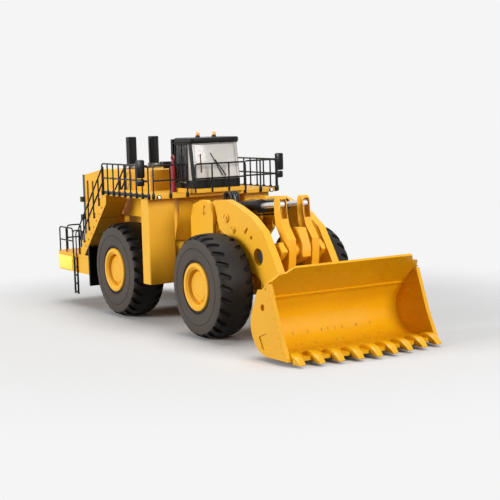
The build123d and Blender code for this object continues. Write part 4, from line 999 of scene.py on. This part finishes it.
@dataclass
class Cab:
    """Fittings of the cab: wipers, panes, frames, lamps, beacons, mirrors and steering wheel.

    Attributes:
        sill: Height of the windshield's lower edge in millimetres.
        top: Height of its upper edge.
        front: Station of its lower edge from the hitch.
        lean: How far it leans back.
        wall: Distance of the cab's sides from the machine's middle.
        beacons: Station and height of the beacons on the roof.
        beacon_out: Distance of the beacons from the middle.
        doors: Rear and front stations of the panes on each side.
        wiper_ends: Foot and tip of each wiper, across the pane and in height.
        wheel_hub: Middle of the steering wheel.
        wheel_radius: Its radius.
    """

    sill: float = 106.0
    top: float = 134.0
    front: float = 5.0
    lean: float = 4.0
    wall: float = 20.0
    beacons: tuple[float, float] = (-10.0, 137.4)
    beacon_out: float = 7.0
    doors: Profile = ((-21.4, -12.8), (-11.6, -4.6))
    wiper_ends: Sequence[Profile] = (((4.6, 109.0), (-4.0, 126.0)), ((7.4, 109.0), (-0.6, 121.0)),
                                     ((-13.2, 112.0), (-12.6, 125.6)))
    wheel_hub: Point = (-4.0, 0.0, 114.0)
    wheel_radius: float = 3.4

    def pane(self, y: float, z: float, proud: float) -> Point:
        """Point in front of the windshield."""
        back = self.lean * max(z - self.sill, 0) / (self.top - self.sill)
        return (self.front + proud - back, y, z)

    def wipers(self) -> Piece:
        """Bend the wiper arms from their feet on the pane.

        Returns:
            The arms.
        """
        arms = []
        for foot, tip in self.wiper_ends:
            bend = ((foot[0] * 2 + tip[0]) / 3, (foot[1] * 2 + tip[1]) / 3)
            arms.append(rounded([self.pane(*foot, 0.2), self.pane(*foot, 0.9),
                                 self.pane(*bend, 1.2), self.pane(*tip, 0.6)], 1.0))
        return tubes("wiper_arms", arms, radius=0.34)

    def frames(self) -> Piece:
        """Run a rubber lip round the windshield and a bar down each corner post.

        Returns:
            The lips.
        """
        half, low, high = 17.2, self.sill + 0.2, self.top - 1.6
        loop = [self.pane(y, z, 0.05) for y, z in ((-half, low), (half, low), (half, high),
                                                   (-half, high), (-half, low))]
        posts = [[at(-3.9, hand * (self.wall + 0.1), z) for z in (106.2, 132.2)] for hand in HANDS]
        return tubes("window_lips", [rounded(loop, radius=2.0)] + posts, radius=0.42)

    def lamps(self) -> tuple[Piece, Piece]:
        """Turn the work lamps at the front corners of the deck.

        Returns:
            The housings and the lenses.
        """
        body = [(AXIS, -1.6), (0.9, -1.5), (1.5, -0.8), (1.7, 0.4), (1.7, 0.9), (1.35, 0.9),
                (1.3, 0.5), (AXIS, 0.5)]
        lens = [(AXIS, 0.5), (1.28, 0.5), (1.2, 0.85), (0.7, 1.05), (AXIS, 1.1)]
        places = [facing(at(3.4, hand * 48.5, 95.4), AHEAD) for hand in HANDS]
        return (repeated("work_lamp_housings", turned("lamp", body, steps=20), places),
                repeated("work_lamp_lenses", turned("lens", lens, steps=20), places))

    def ring(self) -> Piece:
        """Ring head of the red bottle."""
        return tubes("bottle_ring", [circle(-19.0, -24.0, 122.4, 2.1, steps=20)], radius=0.62)

    def handles(self) -> Piece:
        """Bend the grab bars beside the doors.

        Returns:
            The bars.
        """
        x, low, high = -19.6, 104.0, 118.0
        bars = [rounded([(x, hand * y, z) for y, z in ((self.wall, low), (self.wall + 1.0, low),
                                                       (self.wall + 1.0, high), (self.wall, high))],
                        0.8) for hand in HANDS]
        return tubes("door_grab_bars", bars, radius=0.4)

    def mirror_glass(self) -> Piece:
        """Silvered panes on the rear faces of the mirrors."""
        box = ((-4.15, 57.8, 111.0), (-3.95, 62.4, 121.8))
        return paired("mirror_panes", [box], bevel=0.08)

    def on_roof(self, name: str, profile: Profile) -> Piece:
        """Turn a piece and set it at the place of each beacon.

        Args:
            name: Name of the piece.
            profile: Its profile.

        Returns:
            Both copies.
        """
        x, z = self.beacons
        places = [facing(at(x, hand * self.beacon_out, z), UP) for hand in HANDS]
        return repeated(name, turned("beacon", profile, steps=24), places)

    def beacon_feet(self) -> Piece:
        """Black feet under the amber beacons."""
        return self.on_roof("beacon_feet", [(AXIS, 0.0), (1.9, 0.0), (1.9, 0.5), (1.5, 0.9),
                                            (1.5, 1.5), (AXIS, 1.5)])

    def beacon_lenses(self) -> Piece:
        """Turn domed amber lenses that stand for the beacons' node.

        Returns:
            The lenses.
        """
        piece = self.on_roof("beacon_lenses", [
            (AXIS, 1.4), (1.35, 1.4), (1.35, 1.7), (1.5, 1.9), (1.5, 2.9), (1.3, 3.5), (0.8, 3.9),
            (AXIS, 4.0)])
        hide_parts("beacons")
        return piece

    def mirror_heads(self) -> Piece:
        """Build rounded mirror housings, a tall one over a small one, on their arms.

        Returns:
            The mirrors, which stand for their node.
        """
        tall = paired("tall", [((-4.0, 56.8, 109.8), (-0.8, 63.4, 123.0))], bevel=1.1)
        small = paired("small", [((-4.0, 57.1, 104.0), (-1.2, 63.1, 109.2))], bevel=1.0)
        arms = [rounded([(-1.2, hand * 55.6, z), (-1.2, hand * 57.6, z + 0.6),
                         (-2.6, hand * 58.4, z + 0.6)], 0.8)
                for hand in HANDS for z in (107.0, 117.6)]
        piece = joined("mirror_heads", [tall, small, tubes("arms", arms, radius=0.55)])
        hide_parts("mirrors")
        return piece

    def windshield(self) -> Piece:
        """Lean a wide pane in front of the corner posts.

        Returns:
            The pane.
        """
        low, high = Vector((-0.15, -18.6, 0)) * MM, Vector((0.15, 19.4, 27.0)) * MM
        pane = block("windshield", low, high, bevel=0.12)
        rise = (-self.lean, 0, self.top - self.sill)
        pane.matrix_world = facing(at(*self.pane(0.0, self.sill + 0.5, 0.28)), rise)
        return settle(pane)

    def door_panes(self) -> Piece:
        """Tinted panes over the side windows."""
        boxes = [((rear, self.wall + 0.05, 104.6), (front, self.wall + 0.3, 131.8))
                 for rear, front in self.doors]
        return paired("door_panes", boxes, bevel=0.1)

    def door_frames(self) -> Piece:
        """Run a frame round each side pane and a rain gutter over them.

        Returns:
            The frames.
        """
        loops, low, high = [], 103.6, 132.4
        for hand in HANDS:
            y = hand * (self.wall + 0.3)
            for rear, front in self.doors:
                rear, front = rear - 0.5, front + 0.5
                middle = (rear + front) / 2
                loops.append(rounded([(x, y, z) for x, z in (
                    (middle, low), (front, low), (front, high), (rear, high), (rear, low),
                    (middle, low))], 1.6))
            loops.append([at(-23.6, y, 133.4), at(1.6, y, 133.4)])
        return tubes("door_frames", loops, radius=0.5)

    def wheel_column(self) -> Piece:
        """Set a steering wheel on its column over the console.

        Returns:
            The wheel with its spokes and column.
        """
        hub, tilt = Vector(self.wheel_hub), Vector((-0.35, 0, 1)).normalized()
        across = Vector((0, 1, 0))
        along = across.cross(tilt)
        turns = [tau * step / 24 for step in range(25)]
        rim = [hub + (across * cos(turn) + along * sin(turn)) * self.wheel_radius for turn in turns]
        reach = across * (self.wheel_radius - 0.1)
        arms = [[hub, hub + reach], [hub, hub - reach], [hub, hub - tilt * 5.0]]
        runs = [[at(*point) for point in run] for run in (rim, *arms)]
        return tubes("steering_wheel", runs, radius=0.38)

    def build(self) -> None:
        """Build and dress the fittings."""
        housings, lenses = self.lamps()
        for piece, finish in (
                (self.wipers(), BLACK), (self.frames(), RUBBER_AND_SHADE), (housings, BLACK), (lenses, LENS),
                (self.ring(), RED), (self.handles(), BLACK), (self.mirror_glass(), CHROME),
                (self.beacon_feet(), BLACK), (self.beacon_lenses(), AMBER),
                (self.mirror_heads(), BLACK), (self.windshield(), GLASS),
                (self.door_panes(), TINT), (self.door_frames(), BLACK),
                (self.wheel_column(), GREY)):
            dressed(piece, finish, Body.REAR)


@dataclass
class RearFittings:
    """Fittings of the hood, the bumper, the stairs and the ladders.

    Attributes:
        clips: Clips along each edge of a stair flight's underside.
        hood: Half the width of the hood in millimetres.
        climb: How far the stairs' undersides run, in length and in height.
        stacks: Station, distance from the middle and height of the exhaust mouths.
    """

    clips: int = 7
    hood: float = 30.0
    climb: float = 44.6
    stacks: Point = (-115.0, 10.2, 137.25)

    def stair_clips(self) -> Piece:
        """Set bolted clips along the sides and the undersides of the stairs.

        Returns:
            The bolts.
        """
        places = []
        for clip in range(self.clips):
            t = (clip + 0.5) / self.clips
            places += sides(-82.6 - 38.0 * t, 53.0, 86.6 - 38.0 * t)
            places += [facing(at(-77.6 - self.climb * t, y, 88.0 - self.climb * t), STAIR_SOFFIT)
                       for y in (-50.6, -37.4, 37.4, 50.6)]
        return bolts("stair_bolts", radius=0.95, height=0.7, places=places)

    def soffit_seams(self) -> Piece:
        """Run dark seams between the plates of the stairs' undersides.

        Returns:
            The seams.
        """
        seams = []
        for t in (0.3, 0.62):
            x, z = -77.2 - self.climb * t, 88.6 - self.climb * t
            seams += [[at(x, hand * y, z) for y in (36.4, 51.6)] for hand in HANDS]
        return tubes("stair_seams", seams, radius=0.25)

    def soffit_ribs(self) -> Piece:
        """Run edge angles along the undersides of the stairs.

        Returns:
            The angles.
        """
        low, high = Vector((-31.5, -0.4, 0.0)) * MM, Vector((31.5, 0.4, 0.9)) * MM
        places = [facing(at(-99.8, y, 65.8), STAIR_SOFFIT) for y in (-52.6, -35.4, 35.4, 52.6)]
        return repeated("stair_edge_angles", block("rib", low, high, bevel=0.15), places)

    def painted_highlight_panels(self) -> Piece:
        """Pale panels that paint a highlight on the sides of the yellow bumper, where bright light
        washes its colour out.
        """
        box = ((-173.6, 52.95, 28.6), (-147.0, 53.25, 40.0))
        return paired("bumper_panels", [box], bevel=0.12)

    def groove_shade_and_joint_lines(self) -> Piece:
        """Run black lines round the hood's grooves as their painted shade, and along its door
        joints as dark joints.

        Returns:
            The black lines.
        """
        lines = []
        # the ovals paint the shade inside the grooves; the straight lines are dark door joints
        for hand in HANDS:
            y = hand * (self.hood + 0.02)
            for x in (-160.0, -150.0):
                rear, front = x - 1.2, x + 1.2
                lines.append(rounded([(rear, y, 90.0), (rear, y, 80.0), (front, y, 80.0),
                                      (front, y, 101.0), (rear, y, 101.0), (rear, y, 90.0)], 1.1))
            lines += [[at(x, y, 78.0), at(x, y, 106.0)] for x in (-132.0, -98.0)]
        return tubes("hood_beads", lines, radius=0.22)

    def hood_latches(self) -> Piece:
        """Latches of the hood's doors."""
        boxes = [((x - 1.6, self.hood - 0.1, 90.0), (x + 1.6, self.hood + 0.7, 92.6))
                 for x in (-130.0, -100.0)]
        return paired("hood_latches", boxes, bevel=0.3)

    def ladder_rails(self) -> Piece:
        """Hooped handrails over the boarding ladders."""
        hoops = [rounded([(x, hand * y, z) for y, z in ((54.0, 30.0), (54.0, 62.0), (48.0, 62.0),
                                                        (48.0, 43.2))], 2.6)
                 for hand in HANDS for x in (-140.9, -134.9)]
        return tubes("ladder_hoops", hoops, radius=0.55)

    def stack_mouth_shade(self) -> Piece:
        """Set flat dark discs on the tops of the exhaust stacks, painted shade that stands for
        their hollow mouths.

        Returns:
            The discs.
        """
        x, y, z = self.stacks
        # painted shade: a thin matte disc where the stack's hollow mouth would be dark
        bore = [(AXIS, 0.0), (3.7, 0.0), (3.7, 0.12), (AXIS, 0.12)]
        places = [facing(at(x, hand * y, z), UP) for hand in HANDS]
        return repeated("stack_bores", turned("bore", bore, steps=28), places)

    def build(self) -> None:
        """Build and dress the fittings."""
        for piece, finish in (
                (self.stair_clips(), GOLD), (self.soffit_ribs(), GOLD), (self.soffit_seams(), RUBBER_AND_SHADE),
                (self.painted_highlight_panels(), BUMPER_HIGHLIGHT), (self.groove_shade_and_joint_lines(), BLACK),
                (self.hood_latches(), BLACK), (self.ladder_rails(), BLACK),
                (self.stack_mouth_shade(), RUBBER_AND_SHADE)):
            dressed(piece, finish, Body.REAR)


@dataclass
class LoaderFittings:
    """Hoses, pin caps and cylinder glands of the front frame and the loader arms.

    Attributes:
        hose: Radius of a hose in millimetres.
        lanes: Places of the hoses across the machine.
        hose_path: Corners of a hose's path, along the machine and in height.
        tilt_out: Distance of the tilt cylinders from the middle.
        bosses: Station, height and radius of the rings on an arm.
        arm_face: Distance of the rings from the middle.
    """

    hose: float = 0.85
    lanes: tuple[float, ...] = (-3.3, -1.1, 1.1, 3.3)
    hose_path: Profile = ((20.0, 70.0), (20.0, 97.4), (30.0, 97.4), (30.0, 87.8))
    tilt_out: float = 9.4
    bosses: Sequence[Point] = ((60.0, 82.3, 2.9), (69.0, 74.8, 2.3))
    arm_face: float = 26.3

    def hoses(self) -> Piece:
        """Loop hoses that rise from the spine over the arm pin.

        Returns:
            The hoses, which stand for their node.
        """
        paths = [rounded([(x, y, z) for x, z in self.hose_path], 5.0, 8) for y in self.lanes]
        piece = tubes("hose_loops", paths, self.hose)
        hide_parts("hydraulic_hoses")
        return piece

    def caps(self, name: str, spot: Point, radius: float) -> Piece:
        """Turn a pin's caps for both outer sides of the machine.

        Args:
            name: Name of the piece.
            spot: Station, distance from the middle and height of the pin.
            radius: Radius of a cap in millimetres.

        Returns:
            The caps.
        """
        face = [(AXIS, -0.3), (radius, -0.3), (radius, 0.35), (radius - 0.4, 0.7),
                (radius * 0.55, 0.7), (radius * 0.5, 0.45), (AXIS, 0.45)]
        return repeated(name, turned("cap", face, steps=24), sides(*spot))

    def glands(self, name: str, base: tuple[float, float], eye: tuple[float, float], y: float,
               reach: float, radius: float, bore: float) -> Piece:
        """Collars round the mouths of a pair of cylinder barrels.

        Args:
            name: Name of the piece.
            base: Base pin (x, z).
            eye: Rod eye (x, z).
            y: Distance of the cylinders from the middle.
            reach: Distance of the mouth from the base pin.
            radius: Radius of the collar in millimetres.
            bore: Radius of its bore.

        Returns:
            The collars.
        """
        way = Vector((eye[0] - base[0], 0, eye[1] - base[1])).normalized()
        ring = [(bore, -4.0), (radius - 0.3, -4.0), (radius, -3.6), (radius, -1.2),
                (radius - 0.6, -0.9), (radius - 0.6, -0.2), (radius - 1.0, 0.3), (bore, 0.3)]
        mouth = Vector((base[0], 0, base[1])) + way * reach
        places = [facing(at(mouth.x, hand * y, mouth.z), tuple(way)) for hand in HANDS]
        return repeated(name, turned("gland", ring, steps=32), places)

    def pipes(self) -> Piece:
        """Hydraulic pipes along the tilt barrels."""
        runs = [rounded([(x, hand * self.tilt_out, z) for x, z in (
            (40.0, 82.0), (44.0, 80.8), (70.0, 83.4), (74.0, 85.6))], 2.0) for hand in HANDS]
        return tubes("cylinder_pipes", runs, radius=0.6)

    def boss_rings(self) -> Piece:
        """Raised rings round the bosses on the outer faces of the arms."""
        rings = [circle(x, hand * self.arm_face, z, radius, steps=24)
                 for hand in HANDS for x, z, radius in self.bosses]
        return tubes("boss_rings", rings, radius=0.42)

    def cross_tube_shade_discs(self) -> Piece:
        """Dark discs set back in the ends of the cross tube, painted shade that stands for the
        tube's hollow ends.
        """
        # painted shade: a dark disc deep in each end of the cross tube
        disc = [(AXIS, -0.4), (4.6, -0.4), (4.6, 0.1), (4.2, 0.4), (AXIS, 0.4)]
        first = turned("plug", disc, steps=28)
        return repeated("cross_tube_shade_discs", first, sides(100.0, 22.6, 58.0))

    def keepers(self) -> Piece:
        """Keeper plates over the arm pins on the tower plates."""
        box = ((28.2, 26.9, 83.2), (31.0, 27.8, 89.8))
        return paired("pin_keepers", [box], bevel=0.35)

    def build(self) -> None:
        """Build and dress the fittings."""
        tilt = {"base": (30.0, 85.6), "eye": (104.3, 92.8), "y": self.tilt_out, "reach": 52.0}
        lift = {"base": (33.0, 46.0), "eye": (82.0, 60.0), "y": 15.8, "reach": 44.0}
        for piece, finish, body in (
                (self.hoses(), RUBBER_AND_SHADE, Body.FRONT), (self.keepers(), GOLD, Body.FRONT),
                (self.boss_rings(), GOLD, Body.BOOM), (self.cross_tube_shade_discs(), RUBBER_AND_SHADE, Body.BOOM),
                (self.caps("arm_pin_caps", (132.0, 25.5, 13.5), radius=3.6), GOLD, Body.BOOM),
                (self.caps("lever_pin_caps", (113.0, 17.0, 62.0), radius=4.6), GOLD, Body.BOOM),
                (self.glands("tilt_glands", **tilt, radius=4.9, bore=2.1), BLACK,
                 Body.TILT_BARRELS),
                (self.glands("lift_glands", **lift, radius=3.7, bore=1.8), BLACK,
                 Body.LIFT_BARRELS),
                (self.pipes(), BLACK, Body.TILT_BARRELS)):
            dressed(piece, finish, body)


@dataclass
class BucketFittings:
    """Teeth, bolts, score marks and eye plugs of the bucket.

    Attributes:
        half: Half the width of the bucket in millimetres.
        wall: Thickness of its side plates.
        edge: Station of the cutting edge in the middle.
        slant: How much the edge runs back for each millimetre out.
        flat: Half the width of the edge's straight middle.
        tooth: Width of a tooth.
        pitch: Distance between teeth.
        side_teeth: Teeth on each side of the middle one.
        taper_from: Distance ahead of the edge at which a tooth begins to narrow.
        taper: Share of its width that it loses for each millimetre.
    """

    half: float = 59.0
    wall: float = 2.0
    edge: float = 192.5
    slant: float = 8.5 / 59.0
    flat: float = 3.3
    tooth: float = 5.8
    pitch: float = 13.4
    side_teeth: int = 4
    taper_from: float = 1.5
    taper: float = 0.05

    def score_marks(self) -> Piece:
        """Set two rows of short score marks up the curve of the heel.

        Returns:
            The marks.
        """
        low, high = Vector((-1.2, -0.16, -0.06)) * MM, Vector((1.2, 0.16, 0.04)) * MM
        rows = ((147.0, 12.75, (0.84, 0, 0.54), (-30.1, -18.6, -7.6, -2.5, 3.1, 8.9, 20.5, 31.7)),
                (154.1, 6.6, (0.41, 0, 0.91), (-28.6, -17.5, -0.6, 4.4, 22.1, 33.7)))
        places = [facing(at(x, y, z), way) for x, z, way, row in rows for y in row]
        return repeated("score_marks", block("mark", low, high, bevel=0.02), places)

    def eye_plugs(self) -> Piece:
        """Plugs that close the lifting eyes from the inside."""
        disc = [(AXIS, 0.0), (2.6, 0.0), (2.6, 0.2), (2.3, 0.4), (AXIS, 0.4)]
        places = sides(156.8, self.half - self.wall, 33.8, -1)
        return repeated("eye_plugs", turned("plug", disc, steps=20), places)

    def claws(self) -> Piece:
        """Strap curved teeth over the cutting edge, the foremost in the middle.

        Returns:
            The teeth, which stand for their node.
        """
        outline = [(0.05, 5.15), (0.05, 2.1), (3.4, 1.85), (7.2, 1.7), (7.4, 2.3), (5.6, 4.2),
                   (3.4, 5.8), (1.2, 7.1), (-1.6, 8.0), (-5.0, 8.2), (-8.2, 7.6), (-10.4, 6.5),
                   (-11.2, 5.6), (-11.2, 5.15)]
        first = prism("claw", outline, self.tooth / 2, 0.5)
        for vertex in first.data.vertices:
            if vertex.co.x > self.taper_from * MM:
                vertex.co.y *= 1 - self.taper * (vertex.co.x / MM - self.taper_from)
        places = []
        for tooth in range(-self.side_teeth, self.side_teeth + 1):
            y = tooth * self.pitch
            edge = self.edge - self.slant * max(abs(y) - self.flat, 0)
            places.append(Matrix.Translation(at(edge, y, 0)))
        piece = repeated("bucket_claws", first, places)
        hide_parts("bucket_teeth")
        return piece

    def side_bolts(self) -> Piece:
        """Set bolts along the side cutters and on the wear pads.

        Returns:
            The bolts.
        """
        low, high = Vector((173.6, 0, 22.0)), Vector((164.2, 0, 47.6))
        spots = [low.lerp(high, t) for t in (0.06, 0.28, 0.5, 0.72)]
        spots += [Vector((x, 0, z)) for x, z in ((175.4, 17.4), (177.6, 12.6), (179.6, 8.4))]
        places = [place for spot in spots for place in sides(spot.x, self.half + 0.8, spot.z)]
        return bolts("cutter_bolts", radius=0.6, height=0.32, places=places)

    def build(self) -> None:
        """Build and dress the fittings."""
        for piece, finish in ((self.score_marks(), RUBBER_AND_SHADE), (self.side_bolts(), SCUFFED),
                              (self.eye_plugs(), SCUFFED), (self.claws(), SCUFFED)):
            dressed(piece, finish, Body.BUCKET)


@dataclass
class Studio:
    """Camera, floor and soft light.

    Attributes:
        eye: Place of the camera in millimetres.
        azimuth: Degrees from straight ahead towards the machine's right.
        elevation: Degrees above the ground.
        roll: Degrees the camera is tipped.
        lens: Focal length in millimetres on the sensor.
        sensor: Width of the sensor in millimetres.
        aim: Point that the lamps face, in metres.
        pale: Colour of the background.
        cloth: Colour of the floor near the model.
        bounce: Colour the floor gives to bounced light.
        fade: Distance in metres at which the floor is half faded, and width of the fade.
        glow: Strength of the world's light on the model.
        lamps: Name, place in metres, side in metres and power in watts of each lamp.
    """

    eye: Point = (809.285, -476.56, 158.27)
    azimuth: float = 31.71
    elevation: float = 6.4
    roll: float = -1.65
    lens: float = 91.27
    sensor: float = 36.0
    aim: Point = (0, 0, 0.06)
    pale: Colour = linear(245, 245, 245)
    cloth: Colour = (0.6, 0.6, 0.6)
    bounce: Colour = (0.16, 0.16, 0.16)
    fade: tuple[float, float] = (0.27, 0.22)
    glow: float = 0.26
    lamps: Sequence[tuple[str, Point, float, float]] = (
        ("front_softbox", (3.5, 0.5, 1.5), 1.6, 126.0),
        ("top_softbox", (-0.4, 0.3, 3.4), 2.6, 76.0),
        ("side_softbox", (-0.9, -3.7, 1.1), 1.6, 160.0))

    def camera(self) -> None:
        """Set the camera at the photograph's place."""
        az, el, roll = radians(self.azimuth), radians(self.elevation), radians(self.roll)
        back = Vector((cos(az) * cos(el), -sin(az) * cos(el), sin(el)))
        right = (-back).cross(Vector(UP)).normalized()
        up = right.cross(-back)
        across = right * cos(roll) + up * sin(roll)
        rise = up * cos(roll) - right * sin(roll)
        data = bpy.data.cameras.new("camera")
        data.lens = self.lens
        data.sensor_width = self.sensor
        data.clip_start = 0.01
        camera = bpy.data.objects.new("camera", data)
        bpy.context.scene.collection.objects.link(camera)
        turn = Matrix((across, rise, back)).transposed().to_4x4()
        camera.matrix_world = Matrix.Translation(Vector(self.eye) * MM) @ turn
        bpy.context.scene.camera = camera

    def lamp(self, name: str, place: Point, size: float, power: float) -> None:
        """Hang one square lamp that faces the model.

        Args:
            name: Name of the lamp.
            place: Its place in metres.
            size: Its side in metres.
            power: Its power in watts.
        """
        data = bpy.data.lights.new(name, "AREA")
        data.size = size
        data.energy = power
        lamp = bpy.data.objects.new(name, data)
        bpy.context.scene.collection.objects.link(lamp)
        lamp.location = place
        way = Vector(self.aim) - Vector(place)
        lamp.rotation_euler = way.to_track_quat("-Z", "Y").to_euler()

    def floor(self) -> None:
        """Lay a pale floor that keeps the shadow near the model and fades into the background."""
        clear()
        bpy.ops.mesh.primitive_grid_add(x_subdivisions=8, y_subdivisions=8, size=30)
        floor = bpy.context.object
        floor.name = "floor"
        made = bpy.data.materials.new("pale_floor")
        made.use_nodes = True
        graph = Graph(made.node_tree)
        away = graph.node("ShaderNodeVectorMath", {"operation": "LENGTH"}, {0: graph.place()},
                          "Value")
        far = away.over(*self.fade)
        seen = graph.shown()
        tone = graph.mix(seen, self.bounce, self.cloth)
        matt = graph.node("ShaderNodeBsdfDiffuse", {}, {"Color": tone})
        glow = graph.node("ShaderNodeEmission", {}, {"Color": self.pale, "Strength": 1.0})
        both = graph.node("ShaderNodeMixShader", {}, {0: far * seen, 1: matt, 2: glow})
        graph.node("ShaderNodeOutputMaterial", {}, {"Surface": both})
        floor.data.materials.append(made)

    def sky(self) -> None:
        """Give the world a soft glow, and the pale background to the camera and to reflections."""
        world = bpy.data.worlds.new("studio")
        bpy.context.scene.world = world
        world.use_nodes = True
        graph = Graph(world.node_tree)
        strength = self.glow + graph.shown() * (1 - self.glow)
        light = graph.node("ShaderNodeBackground", {}, {"Color": self.pale, "Strength": strength})
        graph.node("ShaderNodeOutputWorld", {}, {"Surface": light})

    def build(self) -> None:
        """Set up the whole studio."""
        bpy.context.scene.view_settings.view_transform = "Standard"
        self.camera()
        self.floor()
        self.sky()
        for lamp in self.lamps:
            self.lamp(*lamp)


def main() -> None:
    """Build every sub-assembly in order."""
    logging.basicConfig(level=logging.INFO, format="%(message)s")
    Studio().build()
    Castings().build()
    for assembly in (Wheels(), Railings(), Cab(), RearFittings(), LoaderFittings(),
                     BucketFittings()):
        assembly.build()
    clear()


if __name__ == "__main__":
    main()
